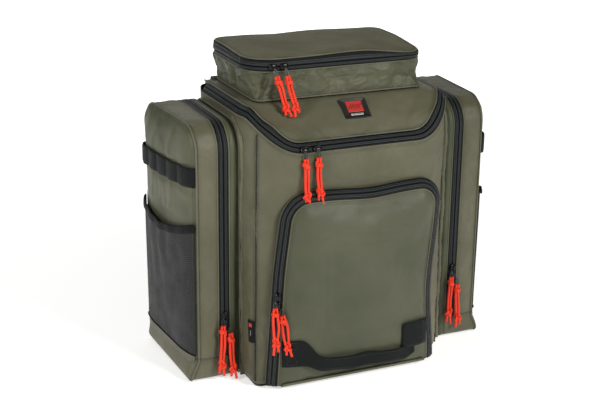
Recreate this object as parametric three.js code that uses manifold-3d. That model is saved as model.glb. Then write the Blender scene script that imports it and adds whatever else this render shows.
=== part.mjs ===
// Tackle backpack: a large soft rucksack with a sloping main lid, a top pocket on that lid, a zipped front
// pocket and two tall zipped side pockets.
// Frame: millimetres, +Z up, the front faces -Y, the back panel lies in the plane y = 0, the bag stands on z = 0.
import * as THREE from "three";
import Module from "manifold-3d";

const wasm = await Module();
wasm.setup();

// ---------------------------------------------------------------- driving dimensions (mm)
const GAP = 0.4; // clearance between two pieces that touch on the real bag
const WALL = 3; // foam-backed fabric of the main compartment
const SKIN = 2.5; // fabric and seam allowance of the pockets

const BASE = { thick: 5, inset: 3 };
const BODY = { half: 200, depth: 285, frontR: 90, footR: 20, backR: 24, side: 484, front: 427, slopeFrom: 225 };
const LID = { rise: 18, thick: 8, hingeY: 0, flatFrom: 200 };
const MAIN_ZIP = { start: 26, half: 8.2, thick: 1.6 };

const TOP = { half: 162, front: 200, back: 4, frontR: 34, backR: 24, base: 502.6, seam: 552.5, close: 561 };
const TOP_LID = { rim: 569, top: 574, crown: 577 };

const FRONT = { half: 161, bottom: 6, top: 361, cornerR: 50, y: 285.4, rim: 290, tilt: 0.62, band: 20, skew: 15 };
const FLAP = { bottom: 8, thick: 4, profile: [[20.2, 0], [35, 6.6], [70, 12.6], [110, 15.1]] };
const HANDLE = { end: 136, tall: 50, mid: 26, z: 72, sag: 50, thick: 2.4 };

const SIDE = {
  inner: 200.4, tray: 221, cover: 241.5, outer: 286, splay: 15,
  front: 220, back: 2, bottom: 4, top: 472, frontR: 48, backR: 40, lowR: 14, seam: 45.6,
};
const PILLOW = [[0, -9], [3, -3], [10, 0], [45, 5], [80, 7]]; // outer panel: inset from its edge, bulge
const WEB = { tall: 35, thick: 2, front: 386, back: 373 };
const MESH = { low: 53, hemFront: 300, hemMid: 272, belly: 9, thick: 1.4 };

const SLIDER = { long: 12, wide: 9, tall: 6.5 };
const PULL = { wide: 9, thick: 4.6, knot: 11.5 };

const PAD = { half: 160, low: 45, top: 462, r: 42, thick: 20 };
const STRAP = { wide: 64, thick: 13, web: 25, webThick: 1.8 };

// ---------------------------------------------------------------- small vector helpers
const add = (a, b) => a.map((v, i) => v + b[i]);
const sub = (a, b) => a.map((v, i) => v - b[i]);
const mul = (a, k) => a.map((v) => v * k);
const dot = (a, b) => a.reduce((s, v, i) => s + v * b[i], 0);
const cross = (a, b) => [
  a[1] * b[2] - a[2] * b[1],
  a[2] * b[0] - a[0] * b[2],
  a[0] * b[1] - a[1] * b[0],
];
const unit = (a) => mul(a, 1 / Math.hypot(...a));
const clamp = (v, lo = 0, hi = 1) => Math.min(hi, Math.max(lo, v));
const smooth = (t) => clamp(t) ** 2 * (3 - 2 * clamp(t));
const lerp = (a, b, t) => a + (b - a) * t;

// value of a piecewise straight profile [[x, y], ...] at x
function along(profile, x) {
  if (x <= profile[0][0]) return profile[0][1];
  for (let i = 1; i < profile.length; i++) {
    const [x0, y0] = profile[i - 1];
    const [x1, y1] = profile[i];
    if (x <= x1) return lerp(y0, y1, (x - x0) / (x1 - x0));
  }
  return profile[profile.length - 1][1];
}

// ---------------------------------------------------------------- solids: { pos: [[x,y,z]...], tri: [[a,b,c]...] }
function outward({ pos, tri }) {
  let v = 0;
  for (const [a, b, c] of tri) v += dot(pos[a], cross(pos[b], pos[c]));
  return { pos, tri: v < 0 ? tri.map(([a, b, c]) => [a, c, b]) : tri };
}

// closed skin over a row of rings with equal point counts; ring ends are capped unless the row itself closes
function skin(rings, closed = false) {
  const n = rings[0].length;
  const pos = rings.flat();
  const tri = [];
  const rows = closed ? rings.length : rings.length - 1;
  for (let i = 0; i < rows; i++) {
    const a = i * n;
    const b = ((i + 1) % rings.length) * n;
    for (let j = 0; j < n; j++) {
      const k = (j + 1) % n;
      tri.push([a + j, a + k, b + k], [a + j, b + k, b + j]);
    }
  }
  if (!closed) {
    for (const [at, flip] of [[0, true], [rings.length - 1, false]]) {
      const ring = rings[at];
      const mid = pos.length;
      pos.push(mul(ring.reduce(add), 1 / n));
      for (let j = 0; j < n; j++) {
        const p = at * n + j;
        const q = at * n + ((j + 1) % n);
        tri.push(flip ? [mid, q, p] : [mid, p, q]);
      }
    }
  }
  return outward({ pos, tri });
}

const mirrored = ({ pos, tri }) => outward({ pos: pos.map(([x, y, z]) => [-x, y, z]), tri });

function toManifold({ pos, tri }) {
  return new wasm.Manifold(
    new wasm.Mesh({
      numProp: 3,
      vertProperties: new Float32Array(pos.flat()),
      triVerts: new Uint32Array(tri.flat()),
    }),
  );
}

function fromManifold(m) {
  const mesh = m.getMesh();
  const pos = [];
  const tri = [];
  for (let i = 0; i < mesh.numVert; i++) pos.push(Array.from(mesh.position(i)));
  for (let i = 0; i < mesh.numTri; i++) tri.push(Array.from(mesh.verts(i)));
  return { pos, tri };
}

const box = (x0, x1, y0, y1, z0, z1) =>
  skin([z0, z1].map((z) => [[x0, y0, z], [x1, y0, z], [x1, y1, z], [x0, y1, z]]));

// ---------------------------------------------------------------- outlines in a plane (a, b)
// closed rounded rectangle; radii in the order (a0,b0) (a1,b0) (a1,b1) (a0,b1)
function rounded(a0, a1, b0, b1, radii, inset = 0, n = 6) {
  const corner = [[a0, b0, 180], [a1, b0, 270], [a1, b1, 0], [a0, b1, 90]];
  const out = [];
  corner.forEach(([a, b, start], i) => {
    const r = Math.max(radii[i] - inset, 1);
    const sa = i === 0 || i === 3 ? 1 : -1;
    const sb = i < 2 ? 1 : -1;
    const ca = a + sa * (inset + r);
    const cb = b + sb * (inset + r);
    for (let k = 0; k <= n; k++) {
      const t = ((start + (90 * k) / n) * Math.PI) / 180;
      out.push([ca + r * Math.cos(t), cb + r * Math.sin(t)]);
    }
  });
  return out;
}

// open U from (a0,b0) up to b1, across, and down to (a1,b0); stations with their outward normal
function uPath(a0, a1, b0, b1, r0, r1, n = 8, straight = 1) {
  const out = [];
  const leg = (a, from, to, na) => {
    for (let k = 0; k < straight; k++) out.push({ p: [a, lerp(from, to, k / straight)], n: [na, 0] });
  };
  leg(a0, b0, b1 - r0, -1);
  for (let k = 0; k <= n; k++) {
    const t = Math.PI - (Math.PI / 2) * (k / n);
    const m = [Math.cos(t), Math.sin(t)];
    out.push({ p: [a0 + r0 + r0 * m[0], b1 - r0 + r0 * m[1]], n: m });
  }
  for (let k = 0; k <= n; k++) {
    const t = (Math.PI / 2) * (1 - k / n);
    const m = [Math.cos(t), Math.sin(t)];
    out.push({ p: [a1 - r1 + r1 * m[0], b1 - r1 + r1 * m[1]], n: m });
  }
  for (let k = straight - 1; k >= 0; k--)
    out.push({ p: [a1, lerp(b0, b1 - r1, k / straight)], n: [1, 0] });
  return out;
}
const inward = (s, d) => [s.p[0] - s.n[0] * d, s.p[1] - s.n[1] * d];

// flat or curved ribbon: stations [x, y, z, width, thickness], width laid along the given direction
function ribbon(stations, widthDir, bevel = 0) {
  const rings = stations.map((s, i) => {
    const p = s.slice(0, 3);
    const before = stations[Math.max(i - 1, 0)].slice(0, 3);
    const after = stations[Math.min(i + 1, stations.length - 1)].slice(0, 3);
    const t = unit(sub(after, before));
    const w0 = typeof widthDir === "function" ? widthDir(i) : widthDir;
    const w = unit(sub(w0, mul(t, dot(w0, t))));
    const n = cross(t, w);
    const [hw, ht] = [s[3] / 2, s[4] / 2];
    const c = Math.min(bevel, ht * 0.8);
    const at = (u, v) => add(p, add(mul(w, u), mul(n, v)));
    if (!c) return [at(-hw, -ht), at(hw, -ht), at(hw, ht), at(-hw, ht)];
    return [
      at(-hw + 2 * c, -ht), at(hw - 2 * c, -ht), at(hw, -ht + c), at(hw, ht - c),
      at(hw - 2 * c, ht), at(-hw + 2 * c, ht), at(-hw, ht - c), at(-hw, -ht + c),
    ];
  });
  return skin(rings);
}

// closed slab between two grids of equal size, outer(u, v) and inner(u, v), u and v from 0 to 1
function slab(nu, nv, outer, inner) {
  const pos = [];
  const tri = [];
  for (const f of [outer, inner])
    for (let j = 0; j <= nv; j++) for (let i = 0; i <= nu; i++) pos.push(f(i / nu, j / nv));
  const id = (s, i, j) => s * (nu + 1) * (nv + 1) + j * (nu + 1) + i;
  for (let j = 0; j < nv; j++)
    for (let i = 0; i < nu; i++) {
      tri.push([id(0, i, j), id(0, i + 1, j), id(0, i + 1, j + 1)]);
      tri.push([id(0, i, j), id(0, i + 1, j + 1), id(0, i, j + 1)]);
      tri.push([id(1, i, j), id(1, i + 1, j + 1), id(1, i + 1, j)]);
      tri.push([id(1, i, j), id(1, i, j + 1), id(1, i + 1, j + 1)]);
    }
  const edge = [];
  for (let i = 0; i < nu; i++) edge.push([i, 0]);
  for (let j = 0; j < nv; j++) edge.push([nu, j]);
  for (let i = nu; i > 0; i--) edge.push([i, nv]);
  for (let j = nv; j > 0; j--) edge.push([0, j]);
  edge.forEach(([i, j], k) => {
    const [i2, j2] = edge[(k + 1) % edge.length];
    tri.push([id(0, i2, j2), id(0, i, j), id(1, i, j)]);
    tri.push([id(0, i2, j2), id(1, i, j), id(1, i2, j2)]);
  });
  return outward({ pos, tri });
}

// ---------------------------------------------------------------- the scene group
const bag = new THREE.Group();
bag.name = "tackle_backpack";
const OLIVE = 0x6b6a55;
const BLACK = 0x23252a;
const GREY = 0x3c4244;
const ORANGE = 0xf0431f;

function piece(name, colour, solid) {
  const g = new THREE.BufferGeometry();
  g.setAttribute("position", new THREE.Float32BufferAttribute(solid.pos.flat(), 3));
  g.setIndex(solid.tri.flat());
  g.computeVertexNormals();
  const mesh = new THREE.Mesh(g, new THREE.MeshStandardMaterial({ color: colour, roughness: 0.8 }));
  mesh.name = name;
  bag.add(mesh);
}

function pair(name, colour, solid) {
  piece("left_" + name, colour, solid);
  piece("right_" + name, colour, mirrored(solid));
}

// ---------------------------------------------------------------- main compartment
// height of the zipped seam: level along the sides, dipping across the front, rising at the hinge
function seamHeight(y) {
  const dip = clamp((-y - BODY.slopeFrom) / (BODY.depth - BODY.slopeFrom)) ** 1.4;
  const rear = smooth((y + MAIN_ZIP.start - 2) / 12) * 8;
  return BODY.side - (BODY.side - BODY.front) * dip + rear;
}

// the front corners are nearly square at the foot and open to a wide arc under the lid
const planOf = (r) => (inset) =>
  rounded(-BODY.half, BODY.half, -BODY.depth, 0, [r, r, BODY.backR, BODY.backR], inset, 9);
const plan = planOf(BODY.frontR);
const foot = planOf(BODY.footR);
const level = (outline, z) => outline.map(([a, b]) => [a, b, z]);
const seamRing = (inset) => {
  const rim = plan(0);
  return plan(inset).map(([a, b], i) => [a, b, seamHeight(rim[i][1])]);
};
const floor = BASE.thick + GAP;

piece(
  "main_compartment_shell", OLIVE,
  skin([
    level(foot(8), floor), level(foot(2), floor + 4), level(foot(0), floor + 14),
    seamRing(0), seamRing(WALL), level(foot(WALL), floor + 14), level(foot(9), floor + WALL),
  ]),
);
piece(
  "base_tray", BLACK,
  skin([level(foot(14), 0), level(foot(9), 1.5), level(foot(8.5), BASE.thick)]),
);

const upright = (a0, a1, b0, b1, r, inset, y) =>
  rounded(a0, a1, b0, b1, [r, r, r, r], inset, 4).map(([a, b]) => [a, y, b]);

piece(
  "stiffener_board", BLACK,
  skin([-WALL - GAP - 3, -WALL - GAP].map((y) => upright(-176, 176, floor + 18, 470, 22, 0, y))),
);
piece(
  "back_pad", GREY,
  skin([
    upright(-PAD.half, PAD.half, PAD.low, PAD.top, PAD.r, 0, GAP),
    upright(-PAD.half, PAD.half, PAD.low, PAD.top, PAD.r, 0, PAD.thick * 0.7),
    upright(-PAD.half, PAD.half, PAD.low, PAD.top, PAD.r, 9, PAD.thick + GAP),
  ]),
);

// zip tape on the rounded top edge: from (d0, e0) to (d1, e1), d inboard of the wall and e above the seam
function mainTape(d0, d1) {
  const path = uPath(-BODY.half, BODY.half, MAIN_ZIP.start, BODY.depth, BODY.frontR, BODY.frontR, 9, 3);
  const k = MAIN_ZIP.thick * Math.SQRT1_2;
  return skin(
    path.map((s) => {
      const z = seamHeight(-s.p[1]);
      const at = (d, e) => {
        const [a, b] = inward(s, d);
        return [a, -b, z + e];
      };
      return [at(d0, d0), at(d1, d1), at(d1 - k, d1 + k), at(d0 - k, d0 + k)];
    }),
  );
}
piece("main_zip_lower_tape", BLACK, mainTape(0.6, 0.6 + MAIN_ZIP.half));
piece("main_zip_upper_tape", BLACK, mainTape(1.1 + MAIN_ZIP.half, 1.1 + 2 * MAIN_ZIP.half));

// lid panel: level over the compartment, sloping to the front between its raised front corners
const lidInset = LID.rise + 0.2;
const lidFront = BODY.depth - lidInset;
const lidR = BODY.frontR - lidInset;
const lidSide = BODY.half - lidInset;
const lidTop = BODY.side + LID.rise;
function lidEdge(y) {
  const centre = -(BODY.depth - BODY.frontR);
  const mapped = y > centre ? y : centre + ((y - centre) * BODY.frontR) / lidR;
  return Math.min(seamHeight(mapped), BODY.side) + LID.rise;
}
function lidSurface(x, y) {
  const t = clamp((-y - LID.flatFrom - 2) / (lidFront - LID.flatFrom - 2));
  const middle = lerp(lidTop, BODY.front + LID.rise, t);
  return lerp(middle, lidEdge(y), clamp((Math.abs(x) / lidSide - 0.55) / 0.45) ** 2);
}
function lidHalf(y) {
  const dy = -y - (lidFront - lidR);
  return dy <= 0 ? lidSide : lidSide - lidR + Math.sqrt(Math.max(lidR ** 2 - dy ** 2, 0));
}
const lidRows = [3.4, 60, 130, 195, 202, 212, 222, 232, 242, 250, 257, 262, 265.4, lidFront];
const lidCols = [-1, -0.9, -0.78, -0.6, 0, 0.6, 0.78, 0.9, 1];
piece(
  "main_lid_panel", OLIVE,
  skin(
    lidRows.map((v) => {
      const half = lidHalf(-v);
      const topRow = lidCols.map((c) => [c * half, -v, lidSurface(c * half, -v)]);
      const under = topRow.map(([x, y, z]) => [x, y, z - LID.thick]).reverse();
      return [...topRow, ...under];
    }),
  ),
);

// square patch lying on the sloping part of the lid
{
  const [cx, half] = [12, 24];
  const slope = [0, -(lidFront - LID.flatFrom - 2), BODY.front + LID.rise - lidTop];
  const down = unit(slope);
  const normal = unit(cross([1, 0, 0], mul(down, -1)));
  const mid = [cx, -LID.flatFrom - 2 + slope[1] * 0.42, lidTop + slope[2] * 0.42];
  const ring = (lift, h) =>
    [[-h, -h], [h, -h], [h, h], [-h, h]].map(([u, v]) =>
      add(add(mid, mul(normal, lift)), add(mul([1, 0, 0], u), mul(down, v))),
    );
  piece("lid_label", BLACK, skin([ring(GAP + 0.5, half), ring(GAP + 2, half)]));
}

// ---------------------------------------------------------------- top pocket, carried by the lid
const topRadii = [TOP.frontR, TOP.frontR, TOP.backR, TOP.backR];
const topPlan = (inset) =>
  rounded(-TOP.half, TOP.half, -TOP.front, -TOP.back, topRadii, inset, 6);
const rimHeight = (y) => lerp(TOP.seam, TOP.close - GAP, smooth((y + 30) / 18));
const topRim = (inset) => {
  const outer = topPlan(0);
  return topPlan(inset).map(([a, b], i) => [a, b, rimHeight(outer[i][1])]);
};
piece(
  "top_pocket_box", OLIVE,
  skin([
    level(topPlan(4), TOP.base), level(topPlan(0), TOP.base + 5), topRim(0), topRim(SKIN),
    level(topPlan(SKIN), TOP.base + 6), level(topPlan(6), TOP.base + SKIN),
  ]),
);
{
  const path = uPath(-TOP.half, TOP.half, 31, TOP.front, TOP.frontR, TOP.frontR, 6, 2);
  const z0 = TOP.seam + GAP;
  const z1 = TOP.close - GAP / 2;
  const at = (s, d, z) => {
    const [a, b] = inward(s, d);
    return [a, -b, z];
  };
  piece(
    "top_zip_lower_tape", BLACK,
    skin(path.map((s) => [at(s, 0, z0), at(s, 2, z0), at(s, 2, z1), at(s, 0, z1)])),
  );
}
{
  const [outer, inner] = [topPlan(0), topPlan(2)];
  const [z0, z1] = [TOP.close + GAP / 2, TOP_LID.rim - GAP];
  piece(
    "top_zip_upper_tape", BLACK,
    skin(
      outer.map((p, i) => [[...p, z0], [...inner[i], z0], [...inner[i], z1], [...p, z1]]),
      true,
    ),
  );
}
piece(
  "top_pocket_lid_panel", OLIVE,
  skin([
    level(topPlan(0), TOP_LID.rim), level(topPlan(0), TOP_LID.rim + 4), level(topPlan(4), TOP_LID.top),
    level(topPlan(40), TOP_LID.crown),
  ]),
);

// ---------------------------------------------------------------- front pocket
const frontRadii = [10, 10, FRONT.cornerR, FRONT.cornerR];
// the pocket's left side leans: it stands further out at the foot than at the top
function skew([x, y, z]) {
  const share = clamp((FRONT.half - x) / (2 * FRONT.half));
  return [x + share * (z / 15 - FRONT.skew), y, z];
}
const frontRing = (inset, y, low = FRONT.bottom + inset) =>
  rounded(-FRONT.half + inset, FRONT.half - inset, low, FRONT.top - inset,
    frontRadii.map((r) => Math.max(r - inset, 3)), 0, 7).map(([a, b]) => skew([a, -y, b]));
piece(
  "front_pocket_box", OLIVE,
  skin([
    frontRing(0, FRONT.y), frontRing(0, FRONT.rim), frontRing(SKIN, FRONT.rim),
    frontRing(SKIN, FRONT.y + 2),
  ]),
);
function frontTape(d0, d1) {
  const path = uPath(-FRONT.half, FRONT.half, 24, FRONT.top, FRONT.cornerR, FRONT.cornerR, 8, 2);
  return skin(
    path.map((s) => {
      const at = (d, lift) => {
        const [a, b] = inward(s, d);
        return skew([a, -(FRONT.rim + GAP + d * FRONT.tilt + lift), b]);
      };
      return [at(d0, 0), at(d1, 0), at(d1, 1.6), at(d0, 1.6)];
    }),
  );
}
piece("front_zip_inner_tape", BLACK, frontTape(0.2, 9.8));
piece("front_zip_outer_tape", BLACK, frontTape(10.2, 19.8));

const flapEdge = FRONT.rim + GAP + FRONT.band * FRONT.tilt + 0.6;
const flapRing = ([d, bulge], back) =>
  frontRing(d, flapEdge + bulge - back, FLAP.bottom + (d - FLAP.profile[0][0]) * 0.35);
piece(
  "front_flap_panel", OLIVE,
  skin([
    ...FLAP.profile.slice().reverse().map((p) => flapRing(p, FLAP.thick)),
    ...FLAP.profile.map((p) => flapRing(p, 0)),
  ]),
);
{
  const face = (x) => flapEdge + along(FLAP.profile, FRONT.half - Math.abs(x));
  const off = HANDLE.thick / 2 + 0.9;
  const half = [
    [HANDLE.end, 0, 1, 0], [126, 0, 1, 0], [112, 0.4, 1, 0], [98, 4.1, 0.72, 0.35],
    [80, 7.1, 0.56, 0.75], [45, 8.6, 0.52, 1], [0, 9.1, 0.52, 1],
  ];
  const station = ([x, lift, tall, low], sign) =>
    [
      ...skew([sign * x, -(face(x) + off + lift), lerp(HANDLE.z, HANDLE.sag, low)]),
      HANDLE.tall * tall, HANDLE.thick,
    ];
  const run = [
    ...half.map((h) => station(h, -1)),
    ...half.slice(0, -1).reverse().map((h) => station(h, 1)),
  ];
  piece("front_handle", BLACK, ribbon(run, [0, 0, 1]));
}

// ---------------------------------------------------------------- side pockets (built on the left, mirrored)
const outerX = (y) => -(SIDE.outer + (SIDE.splay * (y + SIDE.front)) / SIDE.front);
const sideRadii = [SIDE.lowR, SIDE.lowR, SIDE.backR, SIDE.frontR];
const sideLoop = (inset) =>
  rounded(-SIDE.front, -SIDE.back, SIDE.bottom, SIDE.top, sideRadii, inset, 6);
const flatRing = (inset, x) => sideLoop(inset).map(([y, z]) => [-x, y, z]);
const bulgeRing = ([inset, bulge], thick = 0) =>
  sideLoop(inset + thick).map(([y, z]) => [outerX(y) - bulge + thick, y, z]);
const sideShell = (x) =>
  skin([
    flatRing(0, x), ...PILLOW.map((p) => bulgeRing(p)),
    ...PILLOW.slice().reverse().map((p) => bulgeRing(p, SKIN)), flatRing(SKIN, x),
  ], true);

const far = 400;
const above = toManifold(box(-far, far, -far, far, SIDE.seam + GAP, 2 * far));
const below = toManifold(box(-far, far, -far, far, -far, SIDE.seam));
const trayWall = skin([
  flatRing(0, SIDE.inner), flatRing(0, SIDE.tray), flatRing(SKIN, SIDE.tray),
  flatRing(SKIN, SIDE.inner + SKIN),
]);
const closedSide = (x) => {
  // shell with its outer panel closed and its inner side open
  const outer = skin([flatRing(0, x), ...PILLOW.map((p) => bulgeRing(p))]);
  const hollow = skin([flatRing(SKIN, x - 5), ...PILLOW.map((p) => bulgeRing(p, SKIN))]);
  return toManifold(outer).subtract(toManifold(hollow));
};
pair(
  "pocket_tray", OLIVE,
  fromManifold(toManifold(trayWall).add(closedSide(SIDE.inner + 6).intersect(below))),
);
pair("cover_shell", OLIVE, fromManifold(closedSide(SIDE.cover).intersect(above)));

function sideTape(x0, x1) {
  const path = uPath(
    -SIDE.front, -SIDE.back, SIDE.seam + 2 * GAP, SIDE.top, SIDE.frontR, SIDE.backR, 6, 2,
  );
  return skin(
    path.map((s) => {
      const [p, q] = [inward(s, 0), inward(s, 2)];
      return [[-x0, ...p], [-x1, ...p], [-x1, ...q], [-x0, ...q]];
    }),
  );
}
const sideMid = (SIDE.tray + SIDE.cover) / 2;
pair("zip_inner_tape", BLACK, sideTape(SIDE.tray + GAP, sideMid - 0.3));
pair("zip_outer_tape", BLACK, sideTape(sideMid + 0.3, SIDE.cover - GAP));

// outer face of the cover at (y, z)
function coverFace(y, z) {
  const d = Math.min(y + SIDE.front, -SIDE.back - y, z - SIDE.bottom, SIDE.top - z);
  return outerX(y) - along(PILLOW, d);
}
{
  const stations = [];
  for (let i = 0; i <= 14; i++) {
    const y = lerp(-SIDE.front + 4, -SIDE.back - 5, i / 14);
    const z = lerp(WEB.front, WEB.back, i / 14);
    stations.push([coverFace(y, z) - 1.2 - WEB.thick / 2, y, z, WEB.tall, WEB.thick]);
  }
  pair("side_webbing", BLACK, ribbon(stations, [0, 0, 1]));
}
{
  const at = (u, v, lift) => {
    const y = lerp(-SIDE.front + 3, -SIDE.back - 3, u);
    const hem = lerp(MESH.hemMid, MESH.hemFront, clamp(1 - u / 0.55) ** 1.6);
    const z = lerp(MESH.low, hem, v);
    const belly = MESH.belly * Math.sin(Math.PI * clamp(u, 0, 1)) ** 0.7 * (0.12 + 0.88 * v);
    return [coverFace(y, z) - 1.3 - belly - lift, y, z];
  };
  pair("mesh_pocket", GREY, slab(14, 6, (u, v) => at(u, v, MESH.thick), (u, v) => at(u, v, 0)));
}

// ---------------------------------------------------------------- shoulder straps and haul handle
{
  const wide = STRAP.wide;
  const run = [
    [-56, 29.5, 456, wide, 9], [-58, 37, 440, wide, STRAP.thick], [-63, 45, 405, wide, STRAP.thick],
    [-70, 50, 355, wide, STRAP.thick], [-79, 51, 300, wide, STRAP.thick],
    [-88, 48, 245, wide - 4, STRAP.thick], [-95, 42, 200, wide - 10, STRAP.thick],
    [-99, 37, 172, 44, 8],
  ];
  pair("shoulder_strap", GREY, ribbon(run, [1, 0, 0], 3.5));

  const low = [
    [-102, 29.5, 142, 25, 1.8], [-108, 26.5, 118, 25, 1.8], [-122, 24.5, 86, 25, 1.8],
    [-140, 22.8, 62, 25, 1.8],
  ];
  pair("strap_webbing", BLACK, ribbon(low, [1, 0, 0]));

  const lock = (inset, y) =>
    rounded(-121, -81, 147, 170, [3, 3, 3, 3], inset, 2).map(([a, b]) => [a, y, b]);
  const frame = toManifold(skin([lock(0, 26), lock(0, 30)]));
  const slots = [[150, 154], [159, 166]].map(([z0, z1]) =>
    toManifold(box(-116, -86, 20, 40, z0, z1)));
  pair("ladder_lock", BLACK, fromManifold(frame.subtract(slots[0]).subtract(slots[1])));
}
{
  const stations = [];
  for (let i = 0; i <= 12; i++) {
    const t = i / 12;
    const up = Math.sin(Math.PI * t) ** 0.6;
    stations.push([lerp(-19, 19, t), PAD.thick + 15, 458 + 28 * up, 25, 2.4]);
  }
  piece("haul_handle", BLACK, ribbon(stations, [0, 1, 0]));
}

// ---------------------------------------------------------------- zip sliders and cord pulls
// slider block: long along the zip (dir), tall off the tape (out), centred on base
function slider(base, dir, out) {
  const wide = unit(cross(dir, out));
  const at = (u, v, w) => add(base, add(mul(dir, u), add(mul(wide, v), mul(out, w))));
  const { long, wide: w0, tall } = SLIDER;
  const ring = (u, w, lo, hi) => [at(u, -w, lo), at(u, w, lo), at(u, w, hi), at(u, -w, hi)];
  return skin([
    ring(-long / 2, w0 * 0.32, 0, tall * 0.45), ring(-long / 4, w0 / 2, 0, tall * 0.9),
    ring(long / 6, w0 / 2, 0, tall), ring(long / 2, w0 * 0.42, 0, tall * 0.5),
  ]);
}

// cord pull hanging from (x, y, z), leaning forward by lean at its foot: wire loop, doubled cord, knot, tails
function pull(x, y, z, length, lean = 0) {
  const profile = [
    [0, 3.4, 1.6], [0.15, 3.4, 1.6], [0.17, PULL.wide, PULL.thick], [0.3, PULL.wide, PULL.thick],
    [0.62, PULL.wide * 0.85, PULL.thick], [0.68, PULL.knot, PULL.thick * 1.55],
    [0.82, PULL.knot, PULL.thick * 1.55], [0.87, PULL.wide * 0.8, PULL.thick], [1, PULL.wide, PULL.thick],
  ];
  return skin(
    profile.map(([t, wide, thick]) => {
      const [a, b] = [wide / 2, thick / 2];
      return [[-a, -b * 0.5], [-a * 0.6, -b], [a * 0.6, -b], [a, -b * 0.5],
        [a, b * 0.5], [a * 0.6, b], [-a * 0.6, b], [-a, b * 0.5]]
        .map(([u, v]) => [x + u, y + v - t * lean, z - t * length]);
    }),
  );
}

// main lid: on the chamfered seam across the front
{
  const mid = 1 + MAIN_ZIP.half - SLIDER.wide * 0.36;
  const lift = MAIN_ZIP.thick * Math.SQRT1_2 + 0.5;
  const y = -(BODY.depth - mid + lift);
  const z = BODY.front + mid + lift;
  const out = unit([0, -1, 1]);
  [["a", -108], ["b", -84]].forEach(([tag, x]) => {
    piece("main_slider_" + tag, BLACK, slider([x, y, z], [1, 0, 0], out));
    piece("main_pull_" + tag, ORANGE, pull(x, y - SLIDER.tall, z - 1, 82, 13));
  });
}
// top pocket: on the upright seam at the left of its front
{
  const y = -(TOP.front + GAP + 0.2);
  [["a", -126], ["b", -107]].forEach(([tag, x]) => {
    piece("top_slider_" + tag, BLACK, slider([x, y, TOP.close], [1, 0, 0], [0, -1, 0]));
    piece("top_pull_" + tag, ORANGE, pull(x, y - SLIDER.tall - 2.9, TOP.close - 2, 76, 28));
  });
}
// front pocket and side pockets: one slider above the other on an upright run
function uprightPair(tag, place, z, apart, off, drop, out) {
  [["a", 0, apart[0]], ["b", -16, apart[1]]].forEach(([which, dz, dx]) => {
    const [x, y] = place(z + dz);
    piece(tag + "_slider_" + which, BLACK, slider([x, y, z + dz], [0, 0, 1], out));
    const start = z + dz - 2;
    piece(tag + "_pull_" + which, ORANGE, pull(x + dx, y - off, start, drop));
  });
}
{
  const mid = 10;
  const out = unit([-FRONT.tilt, -1, 0]);
  const y = -(FRONT.rim + GAP + mid * FRONT.tilt + 1.6);
  const base = add([-FRONT.half + mid, y, 0], mul(out, 0.6));
  uprightPair("front", (z) => skew([base[0], base[1], z]), 178, [-12.2, 2.8], SLIDER.tall + 4.2, 84, out);
}
for (const [tag, side] of [["left", -1], ["right", 1]]) {
  const x = side * sideMid;
  const place = () => [x, -(SIDE.front + 0.8)];
  uprightPair(tag, place, side < 0 ? 124 : 146, [-6.2, 6.2], SLIDER.tall + 4.2, 92, [0, -1, 0]);
}

// the row's origin: centre of the overall box at ground level, the free cord pulls left out
{
  const bounds = new THREE.Box3();
  bag.children.filter((m) => !m.name.includes("_pull_")).forEach((m) => bounds.expandByObject(m));
  bag.position.y = -Math.round((bounds.min.y + bounds.max.y) * 5) / 10;
}

export default bag;
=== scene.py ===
"""Tackle backpack: the visual model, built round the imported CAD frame.

Lengths below are millimetres in the CAD source's frame (back panel in y = 0, front towards -Y, ground z = 0);
put() turns them into metres in the row frame. Left and right are the viewer's, looking at the front.
"""
import math
import bmesh
import bpy
import numpy as np
from mathutils import Matrix, Vector, noise
from mathutils.bvhtree import BVHTree
from mathutils.kdtree import KDTree


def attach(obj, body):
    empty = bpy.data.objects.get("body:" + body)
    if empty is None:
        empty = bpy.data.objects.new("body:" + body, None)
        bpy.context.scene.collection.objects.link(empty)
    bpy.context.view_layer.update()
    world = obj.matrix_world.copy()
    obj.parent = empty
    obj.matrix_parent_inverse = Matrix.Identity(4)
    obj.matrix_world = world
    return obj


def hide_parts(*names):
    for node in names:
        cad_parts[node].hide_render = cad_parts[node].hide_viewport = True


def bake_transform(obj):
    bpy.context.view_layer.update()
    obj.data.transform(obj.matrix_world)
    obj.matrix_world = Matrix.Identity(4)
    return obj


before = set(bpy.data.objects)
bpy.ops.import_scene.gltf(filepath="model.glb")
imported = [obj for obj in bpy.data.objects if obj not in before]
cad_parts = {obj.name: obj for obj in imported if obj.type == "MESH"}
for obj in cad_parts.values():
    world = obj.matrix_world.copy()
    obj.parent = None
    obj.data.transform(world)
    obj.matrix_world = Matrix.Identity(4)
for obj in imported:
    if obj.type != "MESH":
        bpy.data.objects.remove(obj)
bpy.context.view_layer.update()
scene = bpy.context.scene

SHIFT_Y = 136.7  # the row frame's y is the CAD source's y plus this


def put(p):
    return Vector((p[0] * 0.001, (p[1] + SHIFT_Y) * 0.001, p[2] * 0.001))


def mm(p):
    """A mesh point back in millimetres in the CAD source's frame."""
    return p[0] * 1000, p[1] * 1000 - SHIFT_Y, p[2] * 1000


def clamp(v, lo=0.0, hi=1.0):
    return min(hi, max(lo, v))


def smooth(t):
    t = clamp(t)
    return t * t * (3 - 2 * t)


def lerp(a, b, t):
    return a + (b - a) * t


def mix(p, q, t):
    return tuple(lerp(a, b, t) for a, b in zip(p, q))


def unit(v):
    return Vector(v).normalized()


def arc_gap(r, d):
    """How far an arc of radius r has turned in, d past its start."""
    return r - math.sqrt(max(r * r - d * d, 0))


def along(profile, x):
    """Value at x of a piecewise straight profile [(x, value), ...]."""
    if x <= profile[0][0]:
        return profile[0][1]
    for (x0, y0), (x1, y1) in zip(profile, profile[1:]):
        if x <= x1:
            return lerp(y0, y1, (x - x0) / (x1 - x0))
    return profile[-1][1]


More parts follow.
